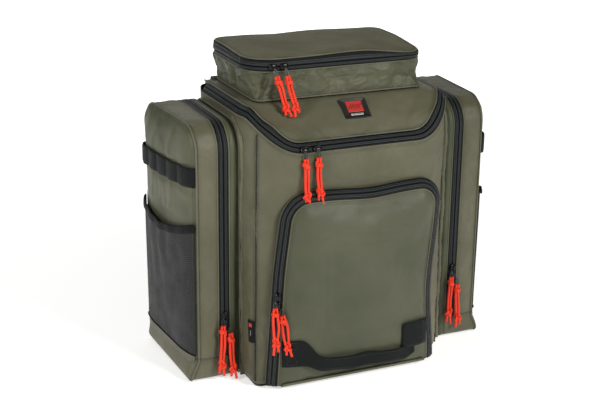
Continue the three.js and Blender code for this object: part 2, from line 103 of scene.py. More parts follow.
# ---------------------------------------------------------------- camera, light and floor
CAMERA_PLACE = (-0.978, -2.0753, 1.060)
AZIMUTH, ELEVATION, ROLL = (math.radians(a) for a in (-24.1, 18.7, 0.69))
SENSOR, LENS = 36, 78.126


def set_camera():
    az, el, roll = AZIMUTH, ELEVATION, ROLL
    back = Vector((math.sin(az) * math.cos(el), -math.cos(az) * math.cos(el), math.sin(el)))
    right = Vector((math.cos(az), math.sin(az), 0))
    up = back.cross(right)
    c, s = math.cos(roll), math.sin(roll)
    right, up = right * c + up * s, up * c - right * s
    data = bpy.data.cameras.new("camera")
    data.sensor_width = SENSOR
    data.lens = LENS
    cam = bpy.data.objects.new("camera", data)
    scene.collection.objects.link(cam)
    turn = Matrix((right, up, back)).transposed().to_4x4()
    cam.matrix_world = Matrix.Translation(CAMERA_PLACE) @ turn
    scene.camera = cam


def area_light(name, place, aim, size, power, colour=(1, 1, 1)):
    data = bpy.data.lights.new(name, "AREA")
    data.shape = "RECTANGLE"
    data.size, data.size_y = size
    data.energy = power
    data.color = colour
    lamp = bpy.data.objects.new(name, data)
    lamp.location = place
    lamp.rotation_euler = (Vector(aim) - Vector(place)).to_track_quat("-Z", "Y").to_euler()
    scene.collection.objects.link(lamp)


set_camera()

# ---------------------------------------------------------------- materials
class Nodes:
    """A new material and short ways to add nodes to it."""

    def __init__(self, name):
        self.material = bpy.data.materials.new(name)
        self.material.use_nodes = True
        self.tree = self.material.node_tree
        self.bsdf = self.tree.nodes["Principled BSDF"]

    def add(self, kind, props=None, **inputs):
        node = self.tree.nodes.new("ShaderNode" + kind)
        for key, value in (props or {}).items():
            setattr(node, key, value)
        for key, value in inputs.items():
            self.feed(node.inputs[key.replace("_", " ")], value)
        return node

    def feed(self, socket, value):
        if isinstance(value, bpy.types.NodeSocket):
            self.tree.links.new(value, socket)
        else:
            socket.default_value = value

    def coord(self, kind):
        return self.add("TexCoord").outputs[kind]

    def seam(self):
        return self.add("Attribute", {"attribute_name": "seam"}).outputs["Fac"]

    def math(self, op, a, b):
        node = self.tree.nodes.new("ShaderNodeMath")
        node.operation = op
        self.feed(node.inputs[0], a)
        self.feed(node.inputs[1], b)
        return node.outputs[0]

    def blend(self, t, a, b):
        node = self.tree.nodes.new("ShaderNodeMix")
        node.data_type = "RGBA"
        self.feed(node.inputs[0], t)
        self.feed(node.inputs[6], a)
        self.feed(node.inputs[7], b)
        return node.outputs[2]

    def ramp(self, value, stops):
        node = self.tree.nodes.new("ShaderNodeMapRange")
        (a, c), (b, d) = stops
        self.feed(node.inputs[0], value)
        for i, v in enumerate((a, b, c, d), 1):
            node.inputs[i].default_value = v
        return node.outputs[0]

    def noise(self, where, scale, detail=2.0, rough=0.5, distortion=0.0):
        node = self.add("TexNoise", Vector=where, Scale=scale, Detail=detail, Roughness=rough,
                        Distortion=distortion)
        return node.outputs["Fac"]

    def wave(self, where, direction, pitch):
        """Bands across a direction, pitch metres apart."""
        node = self.add("TexWave", {"bands_direction": direction}, Vector=where, Scale=math.tau / 20 / pitch)
        return node.outputs["Fac"]

    def bump(self, height, distance, strength=1.0, before=None):
        node = self.add("Bump", Height=height, Distance=distance, Strength=strength)
        if before is not None:
            self.feed(node.inputs["Normal"], before)
        return node.outputs["Normal"]

    def shade(self, **sockets):
        for key, value in sockets.items():
            self.feed(self.bsdf.inputs[key.replace("_", " ")], value)
        return self.material


def rgb(r, g, b):
    """Linear colour with alpha from sRGB bytes."""
    def one(v):
        v /= 255
        return v / 12.92 if v < 0.04045 else ((v + 0.055) / 1.055) ** 2.4
    return (one(r), one(g), one(b), 1.0)


def coated_fabric(name, light, dark, rough=0.5, sheen=0.03, gloss=0.3):
    """Coated nylon: fine plain weave, soft tonal drift, puckered cloth next to seams with painted shade along
    them, and rubbed wear there.
    """
    n = Nodes(name)
    where = n.coord("Object")
    seam = n.seam()
    drift = n.noise(where, 7.0, 3.0, 0.55)
    mottle = n.noise(where, 95.0, 3.0, 0.6)
    cloth = n.blend(n.ramp(drift, [(0.34, 0.0), (0.68, 1.0)]), dark, light)
    cloth = n.blend(n.ramp(mottle, [(0.35, 0.0), (0.7, 0.22)]), cloth, dark)
    threads = n.math("ADD", n.math("ADD", n.wave(where, "X", 0.0011), n.wave(where, "Y", 0.0011)),
                     n.wave(where, "Z", 0.0009))
    cloth = n.blend(n.ramp(threads, [(0.6, 0.10), (2.2, 0.0)]), cloth, (0.01, 0.01, 0.008, 1))
    # painted shade: the cloth is darkened along the seam mask, standing in for shade in the seams' grooves
    edge = n.ramp(seam, [(0.0, 0.0), (1.0, 0.55)])
    cloth = n.blend(edge, cloth, (*(0.45 * c for c in dark[:3]), 1))
    rub = n.math("MULTIPLY", n.ramp(n.noise(where, 38.0, 4.0, 0.65), [(0.56, 0.0), (0.72, 1.0)]),
                 n.ramp(seam, [(0.15, 0.0), (0.7, 0.30)]))
    cloth = n.blend(rub, cloth, (*(1.5 * c for c in light[:3]), 1))
    creases = n.noise(where, 22.0, 4.0, 0.5, 0.6)
    fine = n.noise(where, 130.0, 3.0, 0.6, 0.4)
    gathers = n.math("MULTIPLY", fine, n.ramp(seam, [(0.0, 0.12), (1.0, 1.0)]))
    normal = n.bump(creases, 0.0034, 0.55)
    normal = n.bump(gathers, 0.00168, 0.9, normal)
    normal = n.bump(threads, 0.00006, 0.55, normal)
    roughness = n.math("ADD", n.ramp(drift, [(0.3, rough + 0.06), (0.7, rough - 0.05)]),
                       n.ramp(mottle, [(0.3, 0.03), (0.7, -0.03)]))
    return n.shade(Base_Color=cloth, Roughness=roughness, Normal=normal, Sheen_Weight=sheen,
                   Sheen_Roughness=0.45, Sheen_Tint=(0.93, 0.90, 0.80, 1), Specular_IOR_Level=gloss)


def woven_band(name, colour, lift, rib=0.0022):
    """Webbing: lengthwise ribs with a herringbone crossing, from the ribbon's own UVs (metres)."""
    n = Nodes(name)
    uv = n.coord("UV")
    where = n.coord("Object")
    ribs = n.wave(uv, "Y", rib)
    slant = n.wave(uv, "DIAGONAL", 0.0016)
    weave = n.math("ADD", n.math("MULTIPLY", ribs, 1.2), n.math("MULTIPLY", slant, 0.6))
    fuzz = n.noise(where, 420.0, 3.0, 0.7)
    worn = n.noise(where, 28.0, 3.0, 0.6)
    tone = n.blend(n.ramp(weave, [(0.3, 0.0), (1.6, 1.0)]), colour, lift)
    tone = n.blend(n.ramp(worn, [(0.5, 0.0), (0.75, 0.35)]), tone, lift)
    normal = n.bump(weave, 0.0003, 0.8)
    normal = n.bump(fuzz, 0.0003, 0.5, normal)
    return n.shade(Base_Color=tone, Roughness=n.ramp(fuzz, [(0.3, 0.56), (0.7, 0.72)]),
                   Normal=normal, Sheen_Weight=0.02, Sheen_Roughness=0.4, Specular_IOR_Level=0.16)


def zip_fabric(name):
    """Zip tape: fine knit ribs along the tape, a cross rib where the coil lies under it, and a painted
    highlight along the coil.
    """
    n = Nodes(name)
    uv = n.coord("UV")
    where = n.coord("Object")
    ribs = n.wave(uv, "Y", 0.0013)
    cross = n.wave(uv, "X", 0.0016)
    coil = n.seam()
    height = n.math("ADD", n.math("MULTIPLY", ribs, 0.35), n.math("MULTIPLY", cross, coil))
    dust = n.noise(where, 60.0, 4.0, 0.6)
    tone = n.blend(n.ramp(height, [(0.1, 0.0), (1.2, 1.0)]), rgb(3, 5, 5), rgb(12, 16, 17))
    tone = n.blend(n.ramp(dust, [(0.5, 0.0), (0.8, 0.25)]), tone, rgb(22, 26, 27))
    # painted highlight: lighter lines where the coil lies, standing in for the light caught on its edges
    tone = n.blend(n.ramp(coil, [(0.2, 0.0), (1.0, 0.5)]), tone, rgb(60, 66, 68))
    normal = n.bump(height, 0.0004, 0.9)
    return n.shade(Base_Color=tone, Roughness=n.ramp(dust, [(0.3, 0.42), (0.7, 0.58)]), Normal=normal,
                   Specular_IOR_Level=0.16)


def net_fabric(name, thread, hole, pitch=0.0034):
    """Knitted mesh: staggered holes in a dark net, seen against the cloth behind it."""
    n = Nodes(name)
    uv = n.coord("UV")
    where = n.coord("Object")
    cells = n.add("TexVoronoi", {"feature": "DISTANCE_TO_EDGE"}, Vector=uv, Scale=1 / pitch,
                  Randomness=0.16).outputs["Distance"]
    open_part = n.ramp(cells, [(0.10, 0.0), (0.26, 1.0)])
    drift = n.noise(where, 26.0, 3.0, 0.5)
    tone = n.blend(open_part, thread, hole)
    tone = n.blend(n.ramp(drift, [(0.3, 0.0), (0.75, 0.35)]), tone, thread)
    normal = n.bump(open_part, -0.0009, 0.9)
    normal = n.bump(n.noise(where, 300.0, 2.0), 0.0002, 0.4, normal)
    return n.shade(Base_Color=tone, Roughness=n.ramp(drift, [(0.3, 0.52), (0.7, 0.7)]),
                   Normal=normal, Sheen_Weight=0.03, Specular_IOR_Level=0.25)


def moulded(name, colour, rough, grain=900.0, depth=0.00012, metallic=0.0, worn=None):
    n = Nodes(name)
    where = n.coord("Object")
    stipple = n.noise(where, grain, 2.0, 0.6)
    scuff = n.noise(where, 45.0, 5.0, 0.65, 0.4)
    tone = n.blend(n.ramp(scuff, [(0.56, 0.0), (0.74, 0.6)]), colour,
                   worn or tuple(c * 1.8 + 0.01 for c in colour[:3]) + (1,))
    normal = n.bump(stipple, depth, 0.7)
    return n.shade(Base_Color=tone, Metallic=metallic, Normal=normal,
                   Roughness=n.ramp(scuff, [(0.35, rough - 0.06), (0.7, rough + 0.14)]))


def braid(name, colour, groove_shade):
    """Braided cord: slanting strands, with a painted highlight on their crowns and painted shade between them.
    """
    n = Nodes(name)
    where = n.coord("Object")
    a = n.wave(where, "DIAGONAL", 0.0019)
    turned = n.add("Mapping", Vector=where)
    turned.inputs["Rotation"].default_value = (0.0, 1.5708, 0.0)
    b = n.wave(turned.outputs[0], "DIAGONAL", 0.0019)
    strands = n.math("MAXIMUM", a, b)
    fuzz = n.noise(where, 500.0, 3.0, 0.6)
    tone = n.blend(n.ramp(strands, [(0.2, 0.0), (0.95, 1.0)]), groove_shade, colour)
    normal = n.bump(strands, 0.0004, 0.8)
    return n.shade(Base_Color=tone, Roughness=n.ramp(fuzz, [(0.3, 0.5), (0.7, 0.7)]), Normal=normal,
                   Sheen_Weight=0.06, Sheen_Roughness=0.35, Specular_IOR_Level=0.3)


OLIVE = coated_fabric("olive_cloth", rgb(97, 95, 77), rgb(76, 76, 57))
# the front pocket's panel cloth, painted darker as shade
OLIVE_FLAP_SHADED = coated_fabric("olive_cloth_panel_painted_shade", rgb(78, 80, 62), rgb(64, 67, 49), sheen=0.02)
# the side trays' and tucks' cloth, painted darker as shade in the grooves beside the body
OLIVE_PAINTED_SHADE = coated_fabric("olive_cloth_gusset_painted_shade", rgb(80, 84, 62), rgb(60, 65, 46), rough=0.55, sheen=0.02)
# the top pocket's wall and the side covers' cloth, painted darker as shade
OLIVE_WALL_SHADED = coated_fabric("olive_cloth_wall_painted_shade", rgb(86, 87, 67), rgb(64, 67, 48))
# the top lid's cloth, painted darker as shade on the up-facing top
OLIVE_TOP_SHADED = coated_fabric("olive_cloth_flat_painted_shade", rgb(92, 91, 68), rgb(78, 77, 55), rough=0.6, sheen=0.02,
                          gloss=0.12)
LINING = coated_fabric("lining_cloth", rgb(50, 52, 50), rgb(38, 40, 39), rough=0.7)
WEBBING = woven_band("black_webbing", rgb(5, 8, 8), rgb(17, 22, 22))
BINDING = woven_band("black_binding", rgb(4, 6, 6), rgb(15, 19, 20), rib=0.0011)
ZIP = zip_fabric("zip_tape")
NET = net_fabric("pocket_net", rgb(19, 21, 23), rgb(54, 57, 55))
SPACER = net_fabric("spacer_net", rgb(36, 39, 41), rgb(12, 14, 15), pitch=0.0042)
RUBBER = moulded("label_rubber", rgb(10, 11, 12), 0.55)
RUBBER_RED = moulded("label_rubber_red", rgb(172, 40, 34), 0.5)
RUBBER_PALE = moulded("label_rubber_pale", rgb(196, 196, 192), 0.5)
PLASTIC = moulded("buckle_plastic", rgb(18, 19, 21), 0.42, depth=0.00006)
BASE = moulded("base_rubber", rgb(24, 26, 27), 0.6, grain=350.0, depth=0.0003)
METAL = moulded("black_metal", rgb(12, 13, 14), 0.3, depth=0.00004, metallic=0.4, worn=rgb(60, 62, 64))
WIRE = moulded("wire_metal", rgb(70, 72, 74), 0.3, depth=0.00003, metallic=0.95, worn=rgb(160, 160, 158))
# the cord's orange is painted lighter on the strand crowns as highlight and darker between them as shade
CORD = braid("orange_braid", rgb(240, 62, 32), rgb(178, 30, 14))
THREAD = moulded("olive_thread", rgb(62, 62, 46), 0.6, grain=1500.0)
# dark thread for the body's corner seams: its dark colour is painted shadow in the seams' grooves
SEAM_PAINTED_SHADOW = moulded("seam_shadow_thread", rgb(34, 35, 26), 0.75, grain=1500.0)
THREAD_BLACK = moulded("black_thread", rgb(40, 43, 45), 0.55, grain=1500.0)
# thread for the zips' stitching, coloured light grey to stand in for the highlight along the coil
THREAD_GREY_HIGHLIGHT = moulded("grey_thread_painted_highlight", rgb(96, 100, 102), 0.5, grain=1500.0)
BOARD = moulded("frame_board", rgb(40, 42, 42), 0.7, grain=200.0, depth=0.0004)

# ---------------------------------------------------------------- meshes
def finish_mesh(name, pos, faces, body, mats, uvs=None):
    """Smooth object from points in millimetres; uvs is one list per face."""
    mesh = bpy.data.meshes.new(name)
    mesh.from_pydata([put(p) for p in pos], [], faces)
    for m in mats if isinstance(mats, (list, tuple)) else [mats]:
        mesh.materials.append(m)
    layer = mesh.uv_layers.new(name="UVMap")
    if uvs:
        layer.data.foreach_set("uv", [c for face in uvs for corner in face for c in corner])
    mesh.polygons.foreach_set("use_smooth", [True] * len(faces))
    mesh.update()
    obj = bpy.data.objects.new(name, mesh)
    scene.collection.objects.link(obj)
    if body:
        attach(obj, body)
    return obj


def spans(rows, wrap):
    """Running length in metres along the middle row, and across the middle column."""
    mid = rows[len(rows) // 2]
    ring = list(mid) + ([mid[0]] if wrap else [])
    u, v = [0.0], [0.0]
    for a, b in zip(ring, ring[1:]):
        u.append(u[-1] + math.dist(a, b) * 0.001)
    k = len(mid) // 3
    for a, b in zip(rows, rows[1:]):
        v.append(v[-1] + math.dist(a[k], b[k]) * 0.001)
    return u, v


def lattice(name, rows, body, mats, wrap=False, close_rows=False, centre=None, caps=False):
    """Sheet of quads over rows of equal length; wrap joins each row's ends, close_rows the last to the first.
    centre: a point the faces look away from. caps: True closes both ends, "start" only the first."""
    n, m = len(rows[0]), len(rows)
    pos = [p for row in rows for p in row]
    u, v = spans(rows, wrap)
    v.append(v[-1] + (math.dist(rows[-1][0], rows[0][0]) * 0.001 if close_rows else 0))
    faces, uvs = [], []
    for j in range(m if close_rows else m - 1):
        j2 = (j + 1) % m
        for i in range(n if wrap else n - 1):
            i2 = (i + 1) % n
            faces.append([j * n + i, j * n + i2, j2 * n + i2, j2 * n + i])
            uvs.append([(u[i], v[j]), (u[i + 1], v[j]), (u[i + 1], v[j + 1]), (u[i], v[j + 1])])
    if caps:
        for j in (0,) if caps == "start" else (0, m - 1):
            order = range(n) if j else range(n - 1, -1, -1)
            faces.append([j * n + i for i in order])
            uvs.append([(u[i], v[j]) for i in order])
    if centre is not None:
        total = 0.0
        for f in faces:
            a, b, c, d = (Vector(pos[k]) for k in (f[0], f[1], f[2], f[-1]))
            total += (c - a).cross(d - b).dot((a + b + c + d) / 4 - Vector(centre))
        if total < 0:
            faces = [f[::-1] for f in faces]
            uvs = [q[::-1] for q in uvs]
    return finish_mesh(name, pos, faces, body, mats, uvs)


def orient(obj):
    """Closed mesh: faces look outward."""
    bm = bmesh.new()
    bm.from_mesh(obj.data)
    bmesh.ops.recalc_face_normals(bm, faces=bm.faces)
    bm.to_mesh(obj.data)
    bm.free()
    return obj


def bake(obj):
    """Apply the object's modifiers."""
    evaluated = obj.evaluated_get(bpy.context.evaluated_depsgraph_get())
    mesh = bpy.data.meshes.new_from_object(evaluated)
    old = obj.data
    obj.modifiers.clear()
    obj.data = mesh
    mesh.name = old.name
    bpy.data.meshes.remove(old)
    return obj


def refine(obj):
    mod = obj.modifiers.new("refine", "SUBSURF")
    mod.levels = mod.render_levels = 1
    mod.boundary_smooth = "PRESERVE_CORNERS"
    return bake(obj)


def thicken(obj, depth, inner_slot=0):
    """Give a sheet its thickness, inward from the face side (mm)."""
    mod = obj.modifiers.new("thickness", "SOLIDIFY")
    mod.thickness = depth * 0.001
    mod.offset = -1
    mod.use_even_offset = False
    mod.material_offset = inner_slot
    return bake(obj)


def read(mesh, what):
    a = np.empty(len(mesh.vertices) * 3)
    mesh.vertices.foreach_get(what, a)
    return a.reshape(-1, 3)


def coords(obj):
    return read(obj.data, "co")


def set_coords(obj, a):
    obj.data.vertices.foreach_set("co", a.ravel())
    obj.data.update()


def mark_seams(obj, lines, reach=11.0):
    """Attribute seam: 1 on the given polylines (mm), fading to 0 reach away."""
    points = []
    for line in lines:
        for a, b in zip(line, line[1:]):
            steps = max(1, int(math.dist(a, b) / 3))
            points += [put(mix(a, b, k / steps)) for k in range(steps + 1)]
    tree = KDTree(len(points))
    for i, p in enumerate(points):
        tree.insert(p, i)
    tree.balance()
    values = [clamp(1 - tree.find(Vector(c))[2] / (reach * 0.001)) ** 1.5 for c in coords(obj)]
    layer = obj.data.attributes.get("seam") or obj.data.attributes.new("seam", "FLOAT", "POINT")
    layer.data.foreach_set("value", values)
    return obj


def rumple(obj, depth, scale, ridged=0.5, mask=None, seed=0.0, stretch=(1, 1, 1)):
    """Move points along their normals by folded noise, up to about depth (mm); scale is in 1/m."""
    pos, nor = coords(obj), read(obj.data, "normal")
    for i, (p, n) in enumerate(zip(pos, nor)):
        w = mask(p) if mask else 1.0
        if w <= 0:
            continue
        q = Vector([c * k for c, k in zip(p, stretch)]) * scale
        q += Vector((seed, seed * 0.7, -seed))
        soft = noise.noise(q)
        fold = 1 - abs(noise.noise(q * 1.7 + Vector((7.1, 3.3, 1.9)))) * 3.2
        pos[i] = p + n * (depth * 0.001 * w * (soft * (1 - ridged) + max(fold, 0) ** 2 * ridged))
    set_coords(obj, pos)
    return obj


def dress(obj, stands_for=None):
    """Hides the CAD node a piece stands for, if any."""
    if stands_for:
        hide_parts(stands_for)
    return obj


JOBS = []


def sheet_edges(rows, cols, inside=None):
    """held() for soften: the four edges of a sheet, and wherever inside(x, y, z) is true."""
    def held(i, p):
        row, col = divmod(i, cols)
        at_edge = row in (0, rows - 1) or col in (0, cols - 1)
        return 1.0 if at_edge or (inside and inside(*mm(p))) else 0.0
    return held


def soften(obj, held, grow, pressure, cap, bend, limit=None):
    """Queue a sheet for the cloth simulation. held(i, p) is 1 where a point is sewn down (p in metres);
    cap is the furthest a point may move (mm), limit(p) a factor on it."""
    pins = [held(i, p) for i, p in enumerate(coords(obj))]
    JOBS.append((obj, pins, grow, pressure, cap, bend, limit))
    return obj


def run_cloth(frames=16):
    """All queued sheets settle together; each result is capped and written to its mesh."""
    if not JOBS:
        return
    for obj, pins, grow, pressure, cap, bend, limit in JOBS:
        group = obj.vertex_groups.new(name="pin")
        for i, w in enumerate(pins):
            if w > 0:
                group.add([i], w, "REPLACE")
        mod = obj.modifiers.new("cloth", "CLOTH")
        s = mod.settings
        s.quality = 5
        s.mass = 0.15
        s.tension_stiffness = s.compression_stiffness = 15
        s.shear_stiffness = 5
        s.bending_stiffness = bend
        s.vertex_group_mass = "pin"
        s.shrink_min = -grow
        s.effector_weights.gravity = 0
        s.use_pressure = True
        s.uniform_pressure_force = pressure
        mod.collision_settings.use_collision = False
        mod.point_cache.frame_start = 1
        mod.point_cache.frame_end = frames
    for f in range(1, frames + 1):
        scene.frame_set(f)
    graph = bpy.context.evaluated_depsgraph_get()
    results = [read(job[0].evaluated_get(graph).data, "co") for job in JOBS]
    for (obj, _, _, _, cap, _, limit), after in zip(JOBS, results):
        obj.modifiers.clear()
        obj.vertex_groups.clear()
        before = coords(obj)
        move = after - before
        length = np.linalg.norm(move, axis=1)
        top = np.full(len(before), cap * 0.001)
        if limit:
            top *= np.array([limit(p) for p in before])
        # a soft cap: short moves stay, long ones close on the limit
        capped = top * np.tanh(length / np.maximum(top, 1e-9))
        scale = np.where(length > 1e-9, capped / np.maximum(length, 1e-9), 0)
        set_coords(obj, before + move * scale[:, None])
    scene.frame_set(1)


# ---------------------------------------------------------------- outlines in a plane (a, b)
def outline(a0, a1, b0, b1, radii, step=8.0, like=None):
    """ring(inset) -> [(a, b, na, nb)]: a rounded rectangle with about step mm between points, the same
    count at every inset; radii in the order (a0,b0) (a1,b0) (a1,b1) (a0,b1). like: radii that set the
    counts instead."""
    corner = [(a0, b0, 180), (a1, b0, 270), (a1, b1, 0), (a0, b1, 90)]
    own = like or radii
    arcs = [max(3, round(r * 1.571 / step)) for r in own]
    sides = [(a1 - a0) - own[0] - own[1], (b1 - b0) - own[1] - own[2],
             (a1 - a0) - own[2] - own[3], (b1 - b0) - own[3] - own[0]]
    runs = [max(1, round(s / step)) for s in sides]

    def ring(inset=0.0):
        out = []
        ends = []
        for i, (a, b, start) in enumerate(corner):
            r = max(radii[i] - inset, 0.8)
            sa, sb = (1 if i in (0, 3) else -1), (1 if i < 2 else -1)
            ca, cb = a + sa * (inset + r), b + sb * (inset + r)
            arc = []
            for k in range(arcs[i] + 1):
                t = math.radians(start + 90 * k / arcs[i])
                arc.append((ca + r * math.cos(t), cb + r * math.sin(t), math.cos(t), math.sin(t)))
            ends.append(arc)
        for i in range(4):
            out += ends[i]
            p, q = ends[i][-1], ends[(i + 1) % 4][0]
            out += [mix(p, q, k / runs[i]) for k in range(1, runs[i])]
        return out
    return ring


def upath(a0, a1, b0, b1, r0, r1, step=6.0):
    """Open U from (a0,b0) up to b1, across and down to (a1,b0), with outward normals."""
    out = []

    def leg(p, q, n):
        count = max(1, round(math.dist(p, q) / step))
        return [(*mix(p, q, k / count), *n) for k in range(count)]

    def arc(ca, cb, r, t0, t1):
        count = max(4, round(r * abs(t1 - t0) / step))
        ts = [lerp(t0, t1, k / count) for k in range(count)]
        return [(ca + r * math.cos(t), cb + r * math.sin(t), math.cos(t), math.sin(t)) for t in ts]

    out += leg((a0, b0), (a0, b1 - r0), (-1, 0))
    out += arc(a0 + r0, b1 - r0, r0, math.pi, math.pi / 2)
    out += leg((a0 + r0, b1), (a1 - r1, b1), (0, 1))
    out += arc(a1 - r1, b1 - r1, r1, math.pi / 2, 0)
    out += leg((a1, b1 - r1), (a1, b0), (1, 0))
    out.append((a1, b0, 1, 0))
    return out


def inward(s, d):
    return s[0] - s[2] * d, s[1] - s[3] * d


# ---------------------------------------------------------------- sewn parts
def frames_along(points, closed=False):
    """Unit tangents at each point of a polyline."""
    n = len(points)
    out = []
    for i in range(n):
        a = points[(i - 1) % n] if closed or i else points[0]
        b = points[(i + 1) % n] if closed or i < n - 1 else points[-1]
        out.append(unit([y - x for x, y in zip(a, b)]))
    return out


def tube(name, points, radius, body, mat, closed=False, sides=8, squeeze=1.0, up=(0, 0, 1)):
    """Round (or squeezed) piping along points; radius may be a function of the run 0..1."""
    rows = []
    tangents = frames_along(points, closed)
    side = None
    for i, (p, t) in enumerate(zip(points, tangents)):
        if side is None:
            start = up if abs(Vector(up).dot(t)) < 0.95 else (1, 0, 0)
            side = unit(Vector(start).cross(t))
        side = unit(side - t * side.dot(t))
        top = t.cross(side)
        r = radius(i / max(1, len(points) - 1)) if callable(radius) else radius
        rows.append([tuple(Vector(p) + side * (r * math.cos(a)) + top * (r * squeeze * math.sin(a)))
                     for a in (math.tau * k / sides for k in range(sides))])
    obj = lattice(name, rows, body, mat, wrap=True, close_rows=closed, caps=not closed)
    return orient(obj)


def band(name, stations, body, mat, across, crown):
    """Webbing: stations of (point, width direction, face normal, width, thickness)."""
    edge = 0.45  # its edges are this much thinner than its middle
    rows = []
    for p, w, n, width, thick in stations:
        w, n = unit(w), unit(n)
        ring = []
        for side in (1, -1):
            for k in range(across):
                x = (k / (across - 1) * 2 - 1) * side
                h = thick / 2 * (edge + (1 - edge) * (1 - x ** 8)) + crown * (1 - x * x) * (side > 0)
                ring.append(tuple(Vector(p) + w * (x * width / 2) + n * (h * side)))
        rows.append(ring)
    return orient(lattice(name, rows, body, mat, wrap=True, caps=True))


def zip_half(name, body, stations):
    """Half a zip's tape: stations of (fabric edge, middle of the zip, face normal)."""
    profile = [(0.0, 0.0), (0.0, 0.5), (0.12, 0.75), (0.3, 0.75), (0.42, 0.8), (0.5, 1.25), (0.64, 1.6),
               (0.80, 1.75), (0.93, 1.7), (1.0, 1.3), (1.0, 0.0)]
    rows = [[tuple(Vector(mix(a, b, s)) + unit(n) * h) for s, h in profile] for a, b, n in stations]
    obj = orient(lattice(name, rows, body, ZIP, wrap=True, caps=True))
    layer = obj.data.attributes.new("seam", "FLOAT", "POINT")
    # the seam attribute here marks where the coil lies: its cross rib and its painted highlight
    marks = [1.0 if 0.6 < s < 0.85 else 0.0 for s, h in profile] * len(rows)
    layer.data.foreach_set("value", marks)
    return obj


def join(name, objs, body):
    """One object out of several."""
    with bpy.context.temp_override(active_object=objs[0], selected_editable_objects=objs,
                                   selected_objects=objs):
        bpy.ops.object.join()
    objs[0].name = objs[0].data.name = name
    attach(objs[0], body)
    return objs[0]


def surface_of(*objs):
    pos, faces = [], []
    for o in objs:
        base = len(pos)
        pos += [v.co.copy() for v in o.data.vertices]
        faces += [[base + i for i in p.vertices] for p in o.data.polygons]
    return BVHTree.FromPolygons(pos, faces)


def stitches(name, lines, body, mat, surface=None, pitch=3.7, length=2.6, radius=0.34, lift=0.1):
    """Rows of thread stitches along polylines (mm), laid on a surface where one is given."""
    pos, faces = [], []
    for line in lines:
        pts = [Vector(p) for p in line]
        run, last = 0.0, 0.0
        for a, b in zip(pts, pts[1:]):
            seg = (b - a).length
            if seg < 1e-6:
                continue
            t = (b - a) / seg
            while last + pitch <= run + seg:
                last += pitch
                mid = a + t * (last - run)
                n = Vector((0, -1, 0)) if abs(t.y) < 0.9 else Vector((0, 0, 1))
                if surface is not None:
                    hit, hn, _, _ = surface.find_nearest(put(mid))
                    if hit is None:
                        continue
                    mid, n = Vector(mm(hit)), hn
                tt = unit(t - n * t.dot(n))
                w = tt.cross(n)
                mid = mid + n * lift
                base = len(pos)
                pos.append(mid - tt * (length / 2))
                for k in (-0.28, 0.28):
                    for c in range(5):
                        ang = math.tau * c / 5
                        pos.append(mid + tt * (k * length) + w * (math.cos(ang) * radius)
                                   + n * (math.sin(ang) * radius))
                pos.append(mid + tt * (length / 2))
                for c in range(5):
                    d = (c + 1) % 5
                    faces.append([base, base + 1 + c, base + 1 + d])
                    faces.append([base + 1 + c, base + 6 + c, base + 6 + d, base + 1 + d])
                    faces.append([base + 6 + c, base + 11, base + 6 + d])
            run += seg
    obj = finish_mesh(name, pos, faces, body, mat)
    return orient(obj)

# ---------------------------------------------------------------- main compartment
HALF, DEPTH, FRONT_R, BACK_R, SIDE_Z, FRONT_Z, SLOPE_FROM = 200, 285, 90, 24, 484, 427, 225
# the front left corner is nearly square at the foot and opens to a wide arc under the lid; the right one
# stays round
FOOT_R, FOOT_R_RIGHT, FOOT_Z = 20, 84, 20
ZIP_START = 26
TOP_RADII = (FRONT_R, FRONT_R, BACK_R, BACK_R)
body_plan = outline(-HALF, HALF, -DEPTH, 0, TOP_RADII, 8)
foot_plan = outline(-HALF, HALF, -DEPTH, 0, (FOOT_R, FOOT_R_RIGHT, BACK_R, BACK_R), 8, like=TOP_RADII)


def seam_height(y):
    """The zipped seam: level along the sides, dipping across the front, rising at the hinge."""
    dip = clamp((-y - SLOPE_FROM) / (DEPTH - SLOPE_FROM)) ** 1.4
    return SIDE_Z - (SIDE_Z - FRONT_Z) * dip + smooth((y + ZIP_START - 2) / 12) * 8


CORNER_SEAM = 217  # degrees round the front corner where the vertical seam runs down


def corner_radius(degrees, z, side=-1):
    top = seam_height(-(DEPTH - FRONT_R) + FRONT_R * math.sin(math.radians(degrees)))
    return lerp(FOOT_R if side < 0 else FOOT_R_RIGHT, FRONT_R, clamp((z - FOOT_Z) / (top - FOOT_Z)))


def corner_point(degrees, z, off=0.0, side=-1):
    """Point on the body's front corner, off outside the cloth."""
    a, r = math.radians(degrees), corner_radius(degrees, z, side)
    return (side * (HALF - r - (r + off) * math.cos(a)), -(DEPTH - r) + (r + off) * math.sin(a), z)


def corner_seam(side, z0=8.0):
    """Points down the front corner's seam."""
    top = seam_height(-(DEPTH - FRONT_R) + FRONT_R * math.sin(math.radians(CORNER_SEAM)))
    return [corner_point(CORNER_SEAM, lerp(z0, top, k / 60), 0, side) for k in range(61)]


rim_line = [(a, b, seam_height(b)) for a, b, _, _ in body_plan(0)]
corner_seams = [corner_seam(-1), corner_seam(1)]
bottom_line = [(a, b, 15) for a, b, _, _ in foot_plan(0)]
near_corner = KDTree(122)
for k, p in enumerate(corner_seams[0] + corner_seams[1]):
    near_corner.insert(put(p), k)
near_corner.balance()
FLOOR = 5.6
MIDDLE = (0, -142)
BODY_ROWS = 56


def foot_row(inset, z, share=1.0):
    """Ring inset inside the foot's outline, drawn in towards the middle to a share of its size."""
    return [(*mix(MIDDLE, (a, b), share), z) for a, b, _, _ in foot_plan(inset)]


